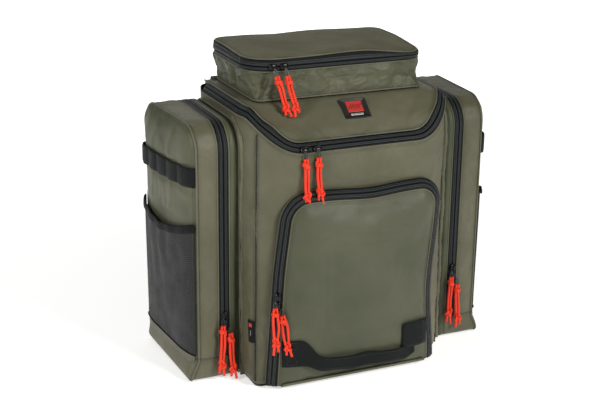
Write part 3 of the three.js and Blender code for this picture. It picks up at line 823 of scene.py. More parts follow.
def build_body():
    rows = [foot_row(9, FLOOR, s) for s in (0.12, 0.4, 0.7, 1)]
    rows += [foot_row(inset, z) for inset, z in ((5.2, 6.6), (2.4, 9.6), (0.7, 14.0))]
    for k in range(BODY_ROWS + 1):
        t = k / BODY_ROWS
        rows.append([(*mix(p[:2], q[:2], t), lerp(FOOT_Z, seam_height(q[1]), t))
                     for p, q in zip(foot_plan(0), body_plan(0))])
    obj = lattice("main_compartment_cloth", rows, "pack", [OLIVE, LINING], wrap=True, centre=(0, -142, 250),
                  caps="start")

    def held(i, p):
        x, y, z = mm(p)
        x = abs(x)
        at_edge = z < 19 or y > -30 or z > seam_height(y) - 5
        under_pocket = (x > 199 and y > -226) or (y < -283 and x < 158 and z < 357)
        return 1.0 if at_edge or under_pocket or near_corner.find(Vector(p))[2] < 0.005 else 0.0

    return soften(obj, held, grow=0.004, pressure=0.45, cap=3.6, bend=0.5)


body = dress(build_body(), "main_compartment_shell")

# ---------------------------------------------------------------- main lid
LID_RISE, FLAT_FROM, ZIP_BAND, LID_COLS = 18, 200, 15, 45
SLOPE_START = -(FLAT_FROM + 2)  # y where the lid begins to slope down
lid_inset = ZIP_BAND + 0.2
lid_front, lid_r, lid_side = DEPTH - lid_inset, FRONT_R - lid_inset, HALF - lid_inset
lid_top = SIDE_Z + LID_RISE


def corner_rise(y):
    """The lid's zipped edge stays high round the front corners before it dips across the front."""
    return 7.0 * math.exp(-((y + 268) / 13) ** 2)


def lid_edge(y):
    centre = -(DEPTH - FRONT_R)
    mapped = y if y > centre else centre + (y - centre) * FRONT_R / lid_r
    return min(seam_height(mapped), SIDE_Z) + ZIP_BAND + corner_rise(mapped)


def lid_surface(x, y):
    t = clamp((SLOPE_START - y) / (lid_front + SLOPE_START))
    # the fold across the lid is soft, so the slope starts on a curve
    bend = -2.2 * math.exp(-((y - SLOPE_START) / 9) ** 2)
    middle = lerp(lid_top, FRONT_Z + ZIP_BAND + corner_rise(-DEPTH), t) + bend
    return lerp(middle, lid_edge(y), clamp((abs(x) / max(lid_half(y), 1) - 0.55) / 0.45) ** 2)


def lid_half(y):
    return lid_side - arc_gap(lid_r, max(lid_r - lid_front - y, 0))


def lid_rows():
    """y of each row, from the hinge to the front, closer together round the front corners."""
    centre = lid_front - lid_r
    flat = [lerp(3.4, centre, k / 24) for k in range(24)]
    return flat + [centre + lid_r * math.sin(math.radians(90 * k / 13)) for k in range(14)]


def build_lid():
    rows = []
    for v in lid_rows():
        xs = [lid_half(-v) * (2 * i / (LID_COLS - 1) - 1) for i in range(LID_COLS)]
        rows.append([(x, -v, lid_surface(x, -v)) for x in xs])
    obj = lattice("main_lid_cloth", rows, "main_lid", [OLIVE, LINING], centre=(0, -130, 0))
    held = sheet_edges(len(rows), LID_COLS, lambda x, y, z: abs(x) < 164 and y > -203)
    return soften(obj, held, grow=0.006, pressure=0.5, cap=3.2, bend=0.4)


lid = dress(build_lid(), "main_lid_panel")

# ---------------------------------------------------------------- top pocket, carried by the lid
T_HALF, T_FRONT, T_BACK, T_BASE, T_SEAM, T_CLOSE = 162, 200, 4, 502.6, 552.5, 561
T_RIM, T_TOP, T_ROWS = 569, 573.8, 14
T_MIDDLE = (0, -102)
FLARE_LEFT, FLARE_RIGHT = 12.0, 4.0  # the pocket widens towards its lid
T_RADII = (50, 40, 24, 24)
top_plan = outline(-T_HALF, T_HALF, -T_FRONT, -T_BACK, T_RADII, 5.5)
sharp_plan = outline(-T_HALF, T_HALF, -T_FRONT, -T_BACK, (13, 13, 16, 16), 5.5, like=T_RADII)


def flared(x, z):
    rise = smooth((z - T_BASE) / (T_SEAM - T_BASE))
    return x * (1 + (FLARE_LEFT * rise if x < 0 else lerp(-4.5, FLARE_RIGHT, rise)) / T_HALF)


def droop(x, y):
    """The slack top lid: raised in the middle, hanging at its front right corner."""
    corner = smooth((x - 40) / 110) * smooth((-y - 70) / 120)
    back_left = smooth((-x - 40) / 70) * smooth((y + 150) / 90)
    return 3.0 * math.exp(-((x - 25) / 65) ** 2) - 8.0 * corner + 3.0 * back_left


# creases that start at the pocket's front corners: depth, place at the base, slant and width
LEFT_CREASES = [(-10, 2, 0.55, 10), (4.5, 24, 0.35, 9), (-6, -40, -0.9, 12), (4, -20, -0.4, 10),
                (-5, -105, 0.7, 13), (3.5, -82, 0.5, 10), (-3, 58, 0.8, 9)]
RIGHT_CREASES = [(-5, 6, 0.4, 9), (3, 26, 0.3, 9), (-3, -48, -0.7, 12)]


def wall_fold(x, y, h):
    """Creases of the top pocket's soft wall at height h over its base (mm, outward)."""
    rise = math.sin(math.pi * clamp(h / 50)) ** 0.8
    out = 0.0
    if abs(x) > 30:
        u = (T_HALF - abs(x)) - (y + T_FRONT)
        for depth, at, slant, width in LEFT_CREASES if x < 0 else RIGHT_CREASES:
            out += depth * math.exp(-((u - at - slant * h) / width) ** 2)
    if y < -T_FRONT + 20:
        out -= 2.2 * math.exp(-((h - 31 + (x + 20) * 0.07) / 5) ** 2) * smooth((x + 70) / 60)
    return out * rise


def top_level(inset, z):
    """Ring round the top pocket; its corners are pinched at the base and round at the rim."""
    t = smooth((z - T_BASE) / 34)
    return [(flared(lerp(p[0], q[0], t), z), lerp(p[1], q[1], t), z)
            for p, q in zip(sharp_plan(inset), top_plan(inset))]


def rim_height(y):
    return lerp(T_SEAM, T_CLOSE - 0.4, smooth((y + 30) / 18))


def build_top_pocket():
    rows = [[(*mix(T_MIDDLE, (a, b), s), T_BASE) for a, b, _, _ in sharp_plan(4)] for s in (0.12, 0.5, 0.85)]
    rows += [top_level(2.4, T_BASE), top_level(-1.6, T_BASE + 0.8), top_level(-2.2, T_BASE + 2.6)]
    floor_rows, ring = len(rows), top_plan(0)
    for k in range(1, T_ROWS + 1):
        t = k / T_ROWS
        row = []
        for i, (a, b, na, nb) in enumerate(ring):
            z = lerp(T_BASE + 2.6, rim_height(b), t)
            x, y, _ = top_level(-2.2 * (1 - smooth(t * 3.4)), z)[i]
            out = wall_fold(a, b, z - T_BASE) if b < -12 else 0.0
            row.append((x + na * out, y + nb * out, z))
        rows.append(row)
    # the wall's darker cloth is painted shade
    obj = lattice("top_pocket_cloth", rows, "main_lid", [OLIVE_WALL_SHADED, LINING], wrap=True,
                  centre=(*T_MIDDLE, 530), caps="start")

    def held(i, p):
        row = i // len(ring)
        return 1.0 if row < floor_rows or row >= len(rows) - 1 or mm(p)[1] > -8 else 0.0

    return soften(obj, held, grow=0.05, pressure=0.2, cap=4.0, bend=0.25)


top_pocket = dress(build_top_pocket(), "top_pocket_box")


def round_span(y, half, front, back, radius_front, radius_back):
    """Half width at y of a plan whose front and back corners are round."""
    for edge, r in ((y - front, radius_front), (back - y, radius_back)):
        if edge < r:
            return half - arc_gap(r, r - max(edge, 0))
    return half


LID_IN, TOP_COLS = 2.4, 43
TOP_PROFILE = [(0, 0), (6, 0.9), (20, 1.8), (60, 2.9)]


def build_top_lid():
    front, back = -T_FRONT + LID_IN, -T_BACK - LID_IN
    rf, rf_right, rb, _ = (r - LID_IN for r in T_RADII)
    ys = [back - rb * (1 - math.cos(math.radians(90 * k / 6))) for k in range(7)]
    ys += [lerp(back - rb, front + rf, k / 20) for k in range(1, 20)]
    ys += [front + rf * (1 - math.sin(math.radians(90 * k / 9))) for k in range(10)]
    rows = []
    for y in ys:
        left = round_span(y, T_HALF + FLARE_LEFT - LID_IN, front, back, rf, rb)
        right = round_span(y, T_HALF + FLARE_RIGHT - LID_IN, front, back, rf_right, rb)
        row = []
        for i in range(TOP_COLS):
            x = lerp(-left, right, i / (TOP_COLS - 1))
            d = min(x + left, right - x, y - front, back - y)
            row.append((x, y, T_TOP + along(TOP_PROFILE, max(d, 0)) + droop(x, y)))
        rows.append(row)
    # the lid's darker cloth is painted shade
    obj = lattice("top_pocket_lid_cloth", rows, "top_pocket_lid", [OLIVE_TOP_SHADED, LINING],
                  centre=(*T_MIDDLE, 400))
    return soften(obj, sheet_edges(len(ys), TOP_COLS), grow=0.004, pressure=0.3, cap=2.0, bend=0.5)


top_lid = dress(build_top_lid(), "top_pocket_lid_panel")

# ---------------------------------------------------------------- front pocket
F_HALF, F_BOTTOM, F_TOP, F_CORNER, F_Y, F_RIM, F_TILT = 161, 6, 361, 50, 285.4, 290, 0.62
FLAP_BOTTOM, FLAP_INSET, FLAP_COLS = 8, 17.4, 41
flap_edge = F_RIM + 0.4 + 20 * F_TILT + 0.6
FLAP_PROFILE = [(0, -1.6), (3, 1.6), (8, 4.0), (15, 6.9), (30, 10.2), (50, 12.8), (90, 15.1)]


def flap_bulge(x, z):
    """How far the padded panel stands off its edge plane (mm), with soft corners."""
    dx, dz_top, dz_low = F_HALF - FLAP_INSET - abs(x), F_TOP - FLAP_INSET - z, (z - FLAP_BOTTOM) * 0.9
    r = F_CORNER - FLAP_INSET
    d = min(dx, dz_top)
    if dx < r and dz_top < r:
        d = r - math.hypot(r - dx, r - dz_top)
    near, other = sorted((d, dz_low))
    k = 22.0  # blends the two distances where a side meets the bottom
    if other - near < k:
        near -= (k - (other - near)) ** 2 / (4 * k) * 0.35
    return along(FLAP_PROFILE, max(near, 0))


def flap_span(z):
    """Half width of the panel at height z."""
    half, r, top = F_HALF - FLAP_INSET, F_CORNER - FLAP_INSET, F_TOP - FLAP_INSET
    return half - arc_gap(r, max(z - top + r, 0)) - arc_gap(4, max(FLAP_BOTTOM + 4 - z, 0))


def build_flap():
    top, r = F_TOP - FLAP_INSET, F_CORNER - FLAP_INSET
    zs = [FLAP_BOTTOM + v for v in (0, 1.2, 4, 8, 13)]
    zs += [lerp(28, top - r, k / 32) for k in range(33)]
    zs += [top - r + r * math.sin(math.radians(90 * k / 8)) for k in range(1, 9)]
    even = [i / (FLAP_COLS - 1) * 2 - 1 for i in range(FLAP_COLS)]
    marks = [math.sin(math.pi / 2 * m) * 0.35 + m * 0.65 for m in even]
    rows = []
    for z in zs:
        half = flap_span(z)
        rows.append([(half * m, -(flap_edge + flap_bulge(half * m, z)), z) for m in marks])
    # its darker cloth is painted shade on the panel
    obj = lattice("front_flap_cloth", rows, "front_flap", [OLIVE_FLAP_SHADED, LINING], centre=(0, -200, 180))

    held = sheet_edges(len(zs), FLAP_COLS, lambda x, y, z: abs(x) > 96 and 44 < z < 100)
    return soften(obj, held, grow=0.004, pressure=0.3, cap=3.0, bend=0.6)


flap = dress(build_flap(), "front_flap_panel")

# ---------------------------------------------------------------- side pockets
S_INNER, S_TRAY, S_COVER, S_OUTER, S_SPLAY = 200.4, 221, 241.5, 287.5, 15.5
S_FRONT, S_BACK, S_LOW, S_TOP, S_FRONT_R, S_BACK_R, S_LOW_R, S_SEAM = 220, -6, 3, 472, 48, 40, 11, 45.6
PILLOW = [(0, -9), (3, -3), (10, 0), (26, 3.4), (45, 5), (80, 7)]


def outer_x(y):
    """Distance of the side pocket's outer face from the middle of the bag."""
    return S_OUTER + S_SPLAY * (y + S_FRONT) / (S_FRONT - S_BACK)


def side_depth(y, z):
    """Distance from (y, z) to the outline of the side pocket's outer panel."""
    d = min(y + S_FRONT, -S_BACK - y, z - S_LOW, S_TOP - z)
    for past, r in ((S_FRONT_R - S_FRONT - y, S_FRONT_R), (y + S_BACK + S_BACK_R, S_BACK_R)):
        if past > 0 and z > S_TOP - r:
            d = min(d, r - math.hypot(past, z - (S_TOP - r)))
    return max(d, 0)


def base_flare(y, z):
    """The base band spreads where the pocket's weight rests."""
    return lerp(13, 4, clamp((y + S_FRONT) / S_FRONT)) * smooth((S_SEAM - z) / 36)


def cover_face(y, z):
    return outer_x(y) + along(PILLOW, side_depth(y, z)) + base_flare(y, z)


def edge_x(y, z):
    """Where the seam round the outer panel runs."""
    return outer_x(y) - 7.9 + base_flare(y, z)


def side_span(z):
    """y of the front and back edges of the outer panel at height z."""
    low = arc_gap(S_LOW_R, max(S_LOW + S_LOW_R - z, 0))
    front = arc_gap(S_FRONT_R, max(z - S_TOP + S_FRONT_R, 0)) + low
    back = arc_gap(S_BACK_R, max(z - S_TOP + S_BACK_R, 0)) + low
    return front - S_FRONT, -S_BACK - back


side_u = upath(-S_FRONT, -S_BACK, S_SEAM + 0.8, S_TOP, S_FRONT_R, S_BACK_R, 7)
side_ring = outline(-S_FRONT, -S_BACK, S_LOW, S_TOP, (S_LOW_R, S_LOW_R, S_BACK_R, S_FRONT_R), 7)
SIDES = (("left", -1), ("right", 1))
COVER_COLS, GUSSET_STEPS = 27, 5
WEB_Z = (385, 374)
MESH_LOW, MESH_FRONT, MESH_MID, MESH_BACK, MESH_BELLY = 53, 300, 274, 290, 8


def quiet(y, z, web_share, net_top, rest):
    """rest where the cover lies under its net or webbing, 1 elsewhere."""
    web = lerp(*WEB_Z, clamp((y + S_FRONT) / S_FRONT))
    return rest if z < net_top or abs(z - web) < web_share else 1.0


def build_cover_panel(tag, side):
    zs = [lerp(S_SEAM + 0.8, S_TOP - S_FRONT_R, k / 42) for k in range(43)]
    zs += [S_TOP - S_FRONT_R + S_FRONT_R * math.sin(math.radians(90 * k / 10)) for k in range(1, 11)]
    even = [i / (COVER_COLS - 1) for i in range(COVER_COLS)]
    marks = [t * 0.6 + 0.4 * (0.5 - 0.5 * math.cos(math.pi * t)) for t in even]
    rows = []
    for z in zs:
        ys = [lerp(*side_span(z), t) for t in marks]
        rows.append([(side * cover_face(y, z), y, z) for y in ys])
    # the cover's darker cloth is painted shade
    obj = lattice(tag + "_cover_cloth", rows, tag + "_cover", [OLIVE_WALL_SHADED, LINING],
                  centre=(side * 200, -110, 240))
    return soften(obj, sheet_edges(len(zs), COVER_COLS), grow=0.006, pressure=0.35, cap=4.0, bend=0.4,
                  limit=lambda p: quiet(mm(p)[1], mm(p)[2], 24, 300, 0.22))


def gusset_rows(side, x_of, path, flare):
    """Strip of cloth round the pocket between two x positions, swelling a little between its seams."""
    rows = []
    for k in range(GUSSET_STEPS + 1):
        t = k / GUSSET_STEPS
        row = []
        for s in path:
            x0, x1 = x_of(s)
            a, b = inward(s, -flare * math.sin(math.pi * t))
            row.append((side * lerp(x0, x1, t), a, b))
        rows.append(row)
    return rows


cover_panels, gussets = {}, {}
for tag, side in SIDES:
    cover_panels[tag] = dress(build_cover_panel(tag, side), tag + "_cover_shell")
    rows = gusset_rows(side, lambda s: (S_COVER - 0.2, outer_x(s[0]) - 8.6), side_u, 1.5)
    gusset = lattice(tag + "_cover_gusset", rows, tag + "_cover", [OLIVE, LINING],
                     centre=(side * 260, -110, 200))
    soften(gusset, sheet_edges(len(rows), len(side_u)), grow=0.012, pressure=0.35, cap=2.6, bend=0.3)
    gussets[tag] = dress(gusset)

# ---------------------------------------------------------------- back pad and shoulder straps
PAD_HALF, PAD_LOW, PAD_TOP, PAD_R = 160, 45, 462, 42
PAD_COLUMNS, PAD_LINES = (-54, 54), (140, 248, 356)
PAD_PROFILE = [(0, 10), (2, 12.5), (6, 15), (14, 17), (30, 18.4)]


def pad_span(z):
    return PAD_HALF - arc_gap(PAD_R, max(z - PAD_TOP + PAD_R, PAD_LOW + PAD_R - z, 0))


def quilt_gaps(x, z):
    """Distances to the lines that quilt the back pad."""
    return [abs(x - c) for c in PAD_COLUMNS] + [abs(z - c) for c in PAD_LINES]


def pad_depth(x, z):
    edge = min(pad_span(z) - abs(x), z - PAD_LOW, PAD_TOP - z)
    y = along(PAD_PROFILE, max(edge, 0))
    for gap in quilt_gaps(x, z):
        y -= 7.5 * math.exp(-(gap / 5.5) ** 2)
    return max(y, 7)


def build_back_pad():
    arc = [PAD_R * (1 - math.cos(math.radians(90 * k / 7))) for k in range(8)]
    straight = [lerp(PAD_LOW + PAD_R, PAD_TOP - PAD_R, k / 54) for k in range(1, 54)]
    zs = [PAD_LOW, *[PAD_LOW + v for v in arc], *straight, *[PAD_TOP - v for v in reversed(arc)], PAD_TOP]
    marks = [-1, *[k / 25 - 1 for k in range(51)], 1]
    rows = []
    for j, z in enumerate(zs):
        half = pad_span(z)
        row = []
        for i, m in enumerate(marks):
            wall = i in (0, len(marks) - 1) or j in (0, len(zs) - 1)
            row.append((half * m, 0.6 if wall else pad_depth(half * m, z), z))
        rows.append(row)
    obj = lattice("back_pad_cloth", rows, "pack", [SPACER, LINING], centre=(0, -60, 250))
    n = len(marks)

    def held(i, p):
        row, col = divmod(i, n)
        if row < 3 or row > len(zs) - 4 or col < 3 or col > n - 4:
            return 1.0
        x, _, z = mm(p)
        return 1.0 if min(quilt_gaps(x, z)) < 4.2 else 0.0

    return soften(obj, held, grow=0.01, pressure=1.2, cap=2.6, bend=0.6)


def spline(stations, count):
    """Catmull-Rom through stations of equal length."""
    out = []
    last = len(stations) - 1
    for k in range(count + 1):
        f = k / count * last
        i = min(int(f), last - 1)
        t = f - i
        p0, p1, p2, p3 = (stations[clamp(i + d, 0, last)] for d in (-1, 0, 1, 2))
        out.append(tuple(0.5 * (2 * b + (c - a) * t + (2 * a - 5 * b + 4 * c - d) * t * t
                                + (3 * b - a - 3 * c + d) * t ** 3) for a, b, c, d in zip(p0, p1, p2, p3)))
    return out


# x, y and z of the strap's middle line, its width and its thickness
STRAP_RUN = [(56, 27.5, 458, 60, 7), (58, 36, 440, 64, 12.4), (63, 44.5, 405, 64, 12.8),
             (70, 49.5, 355, 64, 12.8), (79, 50.5, 300, 64, 12.8), (88, 47.5, 245, 60, 12.4),
             (95, 41.5, 200, 52, 12), (99, 36.5, 170, 42, 7)]
STRAP_SIDES = 24
strap_stations = spline(STRAP_RUN, 58)


def across_and_out(t):
    """Width direction and backward normal of webbing that runs along t."""
    w = unit(Vector((1, 0, 0)) - t * t.x)
    n = w.cross(t)
    return w, n if n.y > 0 else -n


def strap_frame(i, side):
    """Centre, width direction and face normal at strap station i."""
    pts = [(side * s[0], s[1], s[2]) for s in strap_stations]
    w, n = across_and_out(frames_along(pts)[i])
    return Vector(pts[i]), w, n


def build_strap(tag, side):
    rows = []
    for i, s in enumerate(strap_stations):
        c, w, n = strap_frame(i, side)
        ring = []
        for k in range(STRAP_SIDES):
            a = math.tau * k / STRAP_SIDES
            cx, sx = math.cos(a), math.sin(a)
            u = math.copysign(abs(cx) ** 0.62, cx) * s[3] / 2
            h = math.copysign(abs(sx) ** 0.75, sx) * (s[4] / 2 - 0.6)
            if abs(cx) < 0.2 and sx > 0:
                h -= 1.1  # the strap dips under the webbing sewn along its middle
            ring.append(tuple(c + w * u + n * h))
        rows.append(ring)
    obj = orient(lattice(tag + "_strap_pad", rows, "pack", [SPACER, LINING], wrap=True, caps=True))

    def held(i, p):
        row, k = divmod(i, STRAP_SIDES)
        if row in (0, len(rows) - 1) or k in (0, 1, 23, 11, 12, 13, 6):
            return 1.0
        return 0.7 if row % 12 == 0 else 0.0

    return soften(obj, held, grow=0.008, pressure=0.9, cap=1.6, bend=0.5)


back_pad = dress(build_back_pad(), "back_pad")
strap_pads = {}
for tag, side in SIDES:
    strap_pads[tag] = dress(build_strap(tag, side), tag + "_shoulder_strap")

run_cloth()

# ---------------------------------------------------------------- folds, seams and thickness
def rim_path(inset, lift):
    """Along the main zip, inset from the wall and lift above the seam."""
    path = upath(-HALF, HALF, ZIP_START, DEPTH, FRONT_R, FRONT_R, 7)
    return [(inward(s, inset)[0], -inward(s, inset)[1], seam_height(-s[1]) + lift) for s in path]


def free_front(p):
    """1 on the body's visible cloth, 0 where other pieces lie on it."""
    x, y, z = mm(p)
    x = abs(x)
    if z < 24 or (x > 199 and y > -224) or y > -1 or (x < 170 and z < 366 and y < -280):
        return 0.0
    return smooth((seam_height(y) - z) / 26) * smooth((z - 20) / 30)


refine(body)
rumple(body, 2.4, 13, 0.55, free_front, 3.1, (1, 1, 0.6))


def by_corner(p):
    """Short gathers beside the vertical seams."""
    if p[2] > 0.41 or p[2] < 0.02:
        return 0.0
    d = near_corner.find(Vector(p))[2] * 1000
    return smooth(1 - abs(d - 8) / 8) if d < 16 else 0.0


rumple(body, 2.0, 62, 0.5, by_corner, 1.7, (0.35, 0.35, 1.7))
# the seam itself is drawn in
pos, nor = coords(body), read(body.data, "normal")
for i, p in enumerate(pos):
    if p[2] > 0.016:
        d = near_corner.find(Vector(p))[2] * 1000
        if d < 7:
            pos[i] = p - nor[i] * 0.0022 * (1 - d / 7) ** 2
set_coords(body, pos)
mark_seams(body, [rim_line, *corner_seams, bottom_line])
body_face = surface_of(body)
thicken(body, 2.6, 1)


def lid_outline():
    """Points round the lid's zipped edge, from the left of the hinge to the right."""
    left = [(-lid_half(-v), -v, lid_surface(-lid_half(-v), -v)) for v in lid_rows()]
    xs = np.linspace(-lid_side + lid_r, lid_side - lid_r, 30).tolist()[1:-1]
    front = [(x, -lid_front, lid_surface(x, -lid_front)) for x in xs]
    return left + front + [(-x, y, z) for x, y, z in reversed(left)]


lid_rim = lid_outline()
refine(lid)


def lid_free(p):
    x, y, _ = mm(p)
    if abs(x) < 166 and y > -204:
        return 0.0
    return smooth(min(lid_half(y) - abs(x), lid_front + y) / 16)


rumple(lid, 2.0, 13, 0.45, lid_free, 5.5)
mark_seams(lid, [lid_rim, [(*p[:2], 503) for p in top_level(-1, T_BASE)]])
lid_face = surface_of(lid)
thicken(lid, 6.5, 1)

refine(top_pocket)
top_base_line = top_level(-2, T_BASE + 2)
top_rim_line = [(flared(a, T_SEAM), b, rim_height(b)) for a, b, _, _ in top_plan(0)]
top_rim_line.append(top_rim_line[0])


def wall_free(p):
    _, y, z = mm(p)
    return smooth((z - T_BASE - 5) / 8) * smooth((rim_height(y) - z) / 8)


rumple(top_pocket, 2.8, 22, 0.7, wall_free, 2.2, (1, 1, 1.3))
rumple(top_pocket, 0.9, 60, 0.6, wall_free, 4.2, (1, 1, 0.8))
mark_seams(top_pocket, [top_base_line + top_base_line[:1], top_rim_line])
top_face = surface_of(top_pocket)
thicken(top_pocket, 2.0, 1)

refine(top_lid)
top_edge = [(x, y, z + droop(x, y)) for x, y, z in top_level(LID_IN, T_TOP)]
top_edge.append(top_edge[0])
rumple(top_lid, 1.1, 10, 0.35, lambda p: smooth((p[2] * 1000 - T_TOP - 0.3) / 1.2), 8.8)
mark_seams(top_lid, [top_edge])
top_lid_face = surface_of(top_lid)
thicken(top_lid, 2.4, 1)


def flap_line(d, lift=0.0, low=12.0):
    """Points round the front panel at a distance d inside its edge."""
    path = upath(-F_HALF + FLAP_INSET, F_HALF - FLAP_INSET, low, F_TOP - FLAP_INSET, F_CORNER - FLAP_INSET,
                 F_CORNER - FLAP_INSET, 5)
    out = []
    for s in path:
        a, b = inward(s, d)
        out.append((a, -(flap_edge + flap_bulge(a, b) + lift), b))
    return out


def skew(p):
    """The front pocket as it hangs: left side leaning out at its foot, right side pinched in half way up,
    the top edge slack."""
    x, y, z = p
    share = clamp((F_HALF - x) / (2 * F_HALF))
    left = z / 15 - 15 - 6.5 * smooth((345 - z) / 140)
    right = -12.5 * math.exp(-((z - 150) / 105) ** 2) - 3
    sag = 5.5 * math.exp(-((x - 10) / 55) ** 2) * smooth((z - 180) / 150)
    return (x + share * left + (1 - share) * right, y, z - sag)


def skew_mesh(obj):
    pos = coords(obj) * 1000
    pos[:, 1] -= SHIFT_Y
    set_coords(obj, np.array([tuple(put(skew(p))) for p in pos]))
    return obj


refine(flap)


def flap_free(p):
    x, z = abs(p[0]) * 1000, p[2] * 1000
    d = min(F_HALF - FLAP_INSET - x, F_TOP - FLAP_INSET - z, z - FLAP_BOTTOM)
    handle = 0.0 if x > 92 and 40 < z < 104 else 1.0
    return smooth((d - 2) / 26) * handle


rumple(flap, 1.8, 8.0, 0.3, flap_free, 4.4, (1, 1, 0.8))
mark_seams(flap, [flap_line(0, low=9), [(x, -flap_edge, 9) for x in (-140, 140)]], 9)
skew_mesh(flap)
flap_face = surface_of(flap)
thicken(flap, 3.6, 1)


def cover_free(p):
    _, y, z = mm(p)
    return smooth((side_depth(y, z) - 3) / 14) * quiet(y, z, 24, 304, 0.25)


def gusset_free(p):
    x, y, _ = mm(p)
    return smooth((abs(x) - S_COVER) / 8) * smooth((outer_x(y) - 10 - abs(x)) / 8)


cover_faces, cover_feet = {}, {}
for tag, side in SIDES:
    panel, gusset = cover_panels[tag], gussets[tag]
    refine(panel)
    refine(gusset)
    rumple(panel, 3.0, 11, 0.55, cover_free, 6.0 * side, (1, 1.3, 0.8))
    rumple(gusset, 1.7, 22, 0.6, gusset_free, 9.0 * side, (1, 1, 0.7))
    edge = [(side * (outer_x(s[0]) - 7.6), s[0], s[1]) for s in side_u]
    inner_edge = [(side * S_COVER, s[0], s[1]) for s in side_u]
    cover_feet[tag] = [(side * cover_face(y, S_SEAM), y, S_SEAM) for y in range(-S_FRONT, -S_BACK + 1, 8)]
    mark_seams(panel, [edge, cover_feet[tag]])
    mark_seams(gusset, [edge, inner_edge])
    cover_faces[tag] = surface_of(panel)
    thicken(panel, 2.0, 1)
    thicken(gusset, 2.0, 1)

# ---------------------------------------------------------------- hinge cloth, welts and piping
def piping(name, points, radius, body_name, closed=False):
    return dress(tube(name, points, radius, body_name, OLIVE, closed))


def densify(points, step=5.0):
    out = [points[0]]
    for a, b in zip(points, points[1:]):
        n = max(1, round(math.dist(a, b) / step))
        out += [mix(a, b, k / n) for k in range(1, n + 1)]
    return out


piping("main_rim_welt", rim_path(0.2, -0.4), 1.5, "pack")
piping("main_lid_welt", [(x * 0.998, y + 0.5, z - 0.2) for x, y, z in lid_rim], 1.7, "main_lid")
low_rim = [(x, y, z - 0.6) for x, y, z in top_rim_line[:-1] if z < T_SEAM + 1]
piping("top_pocket_rim_welt", low_rim, 1.3, "main_lid")
base_ring = [(x, y, T_BASE + 1.2) for x, y, z in top_level(-3.0, 0)]
piping("top_pocket_base_welt", base_ring, 1.6, "main_lid", closed=True)
low_edge = [(x, y, z - 0.3) for x, y, z in top_edge[:-1]]
piping("top_lid_edge_welt", low_edge, 1.7, "top_pocket_lid", closed=True)


def skirt_top(a, b):
    """Height at which the top lid's side meets its zip."""
    return max(T_CLOSE + 2.6, T_RIM + 3.4 + droop(a, b))


skirt = [[(flared(a, T_RIM), b, skirt_top(a, b) - 1.0) for a, b, _, _ in top_plan(-0.2)]]
for inset, dz in ((0.7, -3.4), (0.6, -1.6), (1.3, -0.4), (2.6, 0.1)):
    ring = zip(top_plan(inset), top_edge)
    skirt.append([(flared(a, T_TOP), b, z + dz) for (a, b, _, _), (_, _, z) in ring])
skirt_obj = lattice("top_lid_skirt", skirt, "top_pocket_lid", [BINDING, LINING], wrap=True,
                    centre=(*T_MIDDLE, 560))
thicken(skirt_obj, 1.2, 1)
dress(skirt_obj)
piping("front_flap_welt", [skew(p) for p in flap_line(1.0, -0.2, 10)], 1.6, "front_flap")
for (tag, _), line in zip(SIDES, corner_seams):
    pts = densify(line, 1.6)[3:-6]
    # thread pulled tight every 6 mm; its dark colour is painted shadow in the seam's groove
    obj = tube("corner_seam_" + tag, pts, lambda t, n=len(pts): 1.15 + 0.5 * math.sin(t * n * 1.7), "pack",
               SEAM_PAINTED_SHADOW, False, 6)


def hinge_cloth(name, sections, b, half):
    """Sheet across a hinge: sections are (y, z) points, drawn across x."""
    rows = [[(x, y, z) for x in np.linspace(-half, half, 33).tolist()] for y, z in sections]
    obj = lattice(name, rows, None, [OLIVE, LINING])
    thicken(obj, 1.2, 1)
    if b == "front_flap":
        skew_mesh(obj)
    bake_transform(obj)
    return obj


hinge_cloth("main_hinge_cloth",
            [(2.2, 470), (2.3, 480), (2.3, 488), (2.2, 494), (1.8, 498), (0.9, 501.5), (-0.8, 503.6),
             (-4, 504.2), (-9, 504.2), (-14, 504.0)],
            "main_lid", half=172)
hinge_cloth("top_hinge_cloth",
            [(-2.2, 543), (-2.1, 551), (-2.1, 556), (-2.1, 559), (-2.1, 562), (-2.1, 565), (-2.2, 569)],
            "top_pocket_lid", half=130)
hinge_cloth("flap_hinge_cloth",
            [(-288.5, 7.6), (-293, 6.6), (-298, 6.2), (-302, 6.3), (-305.5, 7.2), (-307.6, 9.6),
             (-308.6, 13)],
            "front_flap", half=136)

# ---------------------------------------------------------------- zips
def main_tape(inner):
    path = upath(-HALF, HALF, ZIP_START, DEPTH, FRONT_R, FRONT_R, 7)
    out = []
    for s in path:
        z = seam_height(-s[1])

        def at(d, s=s, z=z):
            a, b = inward(s, d)
            return (a, -b, z + d + corner_rise(-s[1]) * d / ZIP_BAND)
        n = unit((s[2], -s[3], 1))
        out.append((at(0.6), at(7.3), n) if inner else (at(14.6), at(7.9), n))
    return out


def add_zip(name, body_name, stations):
    """Half a zip with its row of light grey thread, which also stands in for the highlight along the coil, in
    place of the CAD's tape.
    """
    obj = zip_half(name, body_name, stations)
    line = [tuple(Vector(mix(a, b, 0.44)) + unit(n) * 1.05) for a, b, n in stations]
    thread = stitches(name + "_thread", [line], body_name, THREAD_GREY_HIGHLIGHT, None, 2.7, 2.1, 0.26, 0.0)
    dress(obj, name + "_tape")


add_zip("main_zip_lower", "pack", main_tape(True))
add_zip("main_zip_upper", "main_lid", main_tape(False))

top_path = upath(-T_HALF, T_HALF, 31, T_FRONT, T_RADII[0], T_RADII[1], 5.5)


def top_tape(z_edge, z_mid, out=0.3):
    stations = []
    for s in top_path:
        a, b = inward(s, -out)
        n = (s[2], -s[3], 0)
        stations.append(((flared(a, z_edge), -b, z_edge), (flared(a, z_mid), -b, z_mid), n))
    return stations


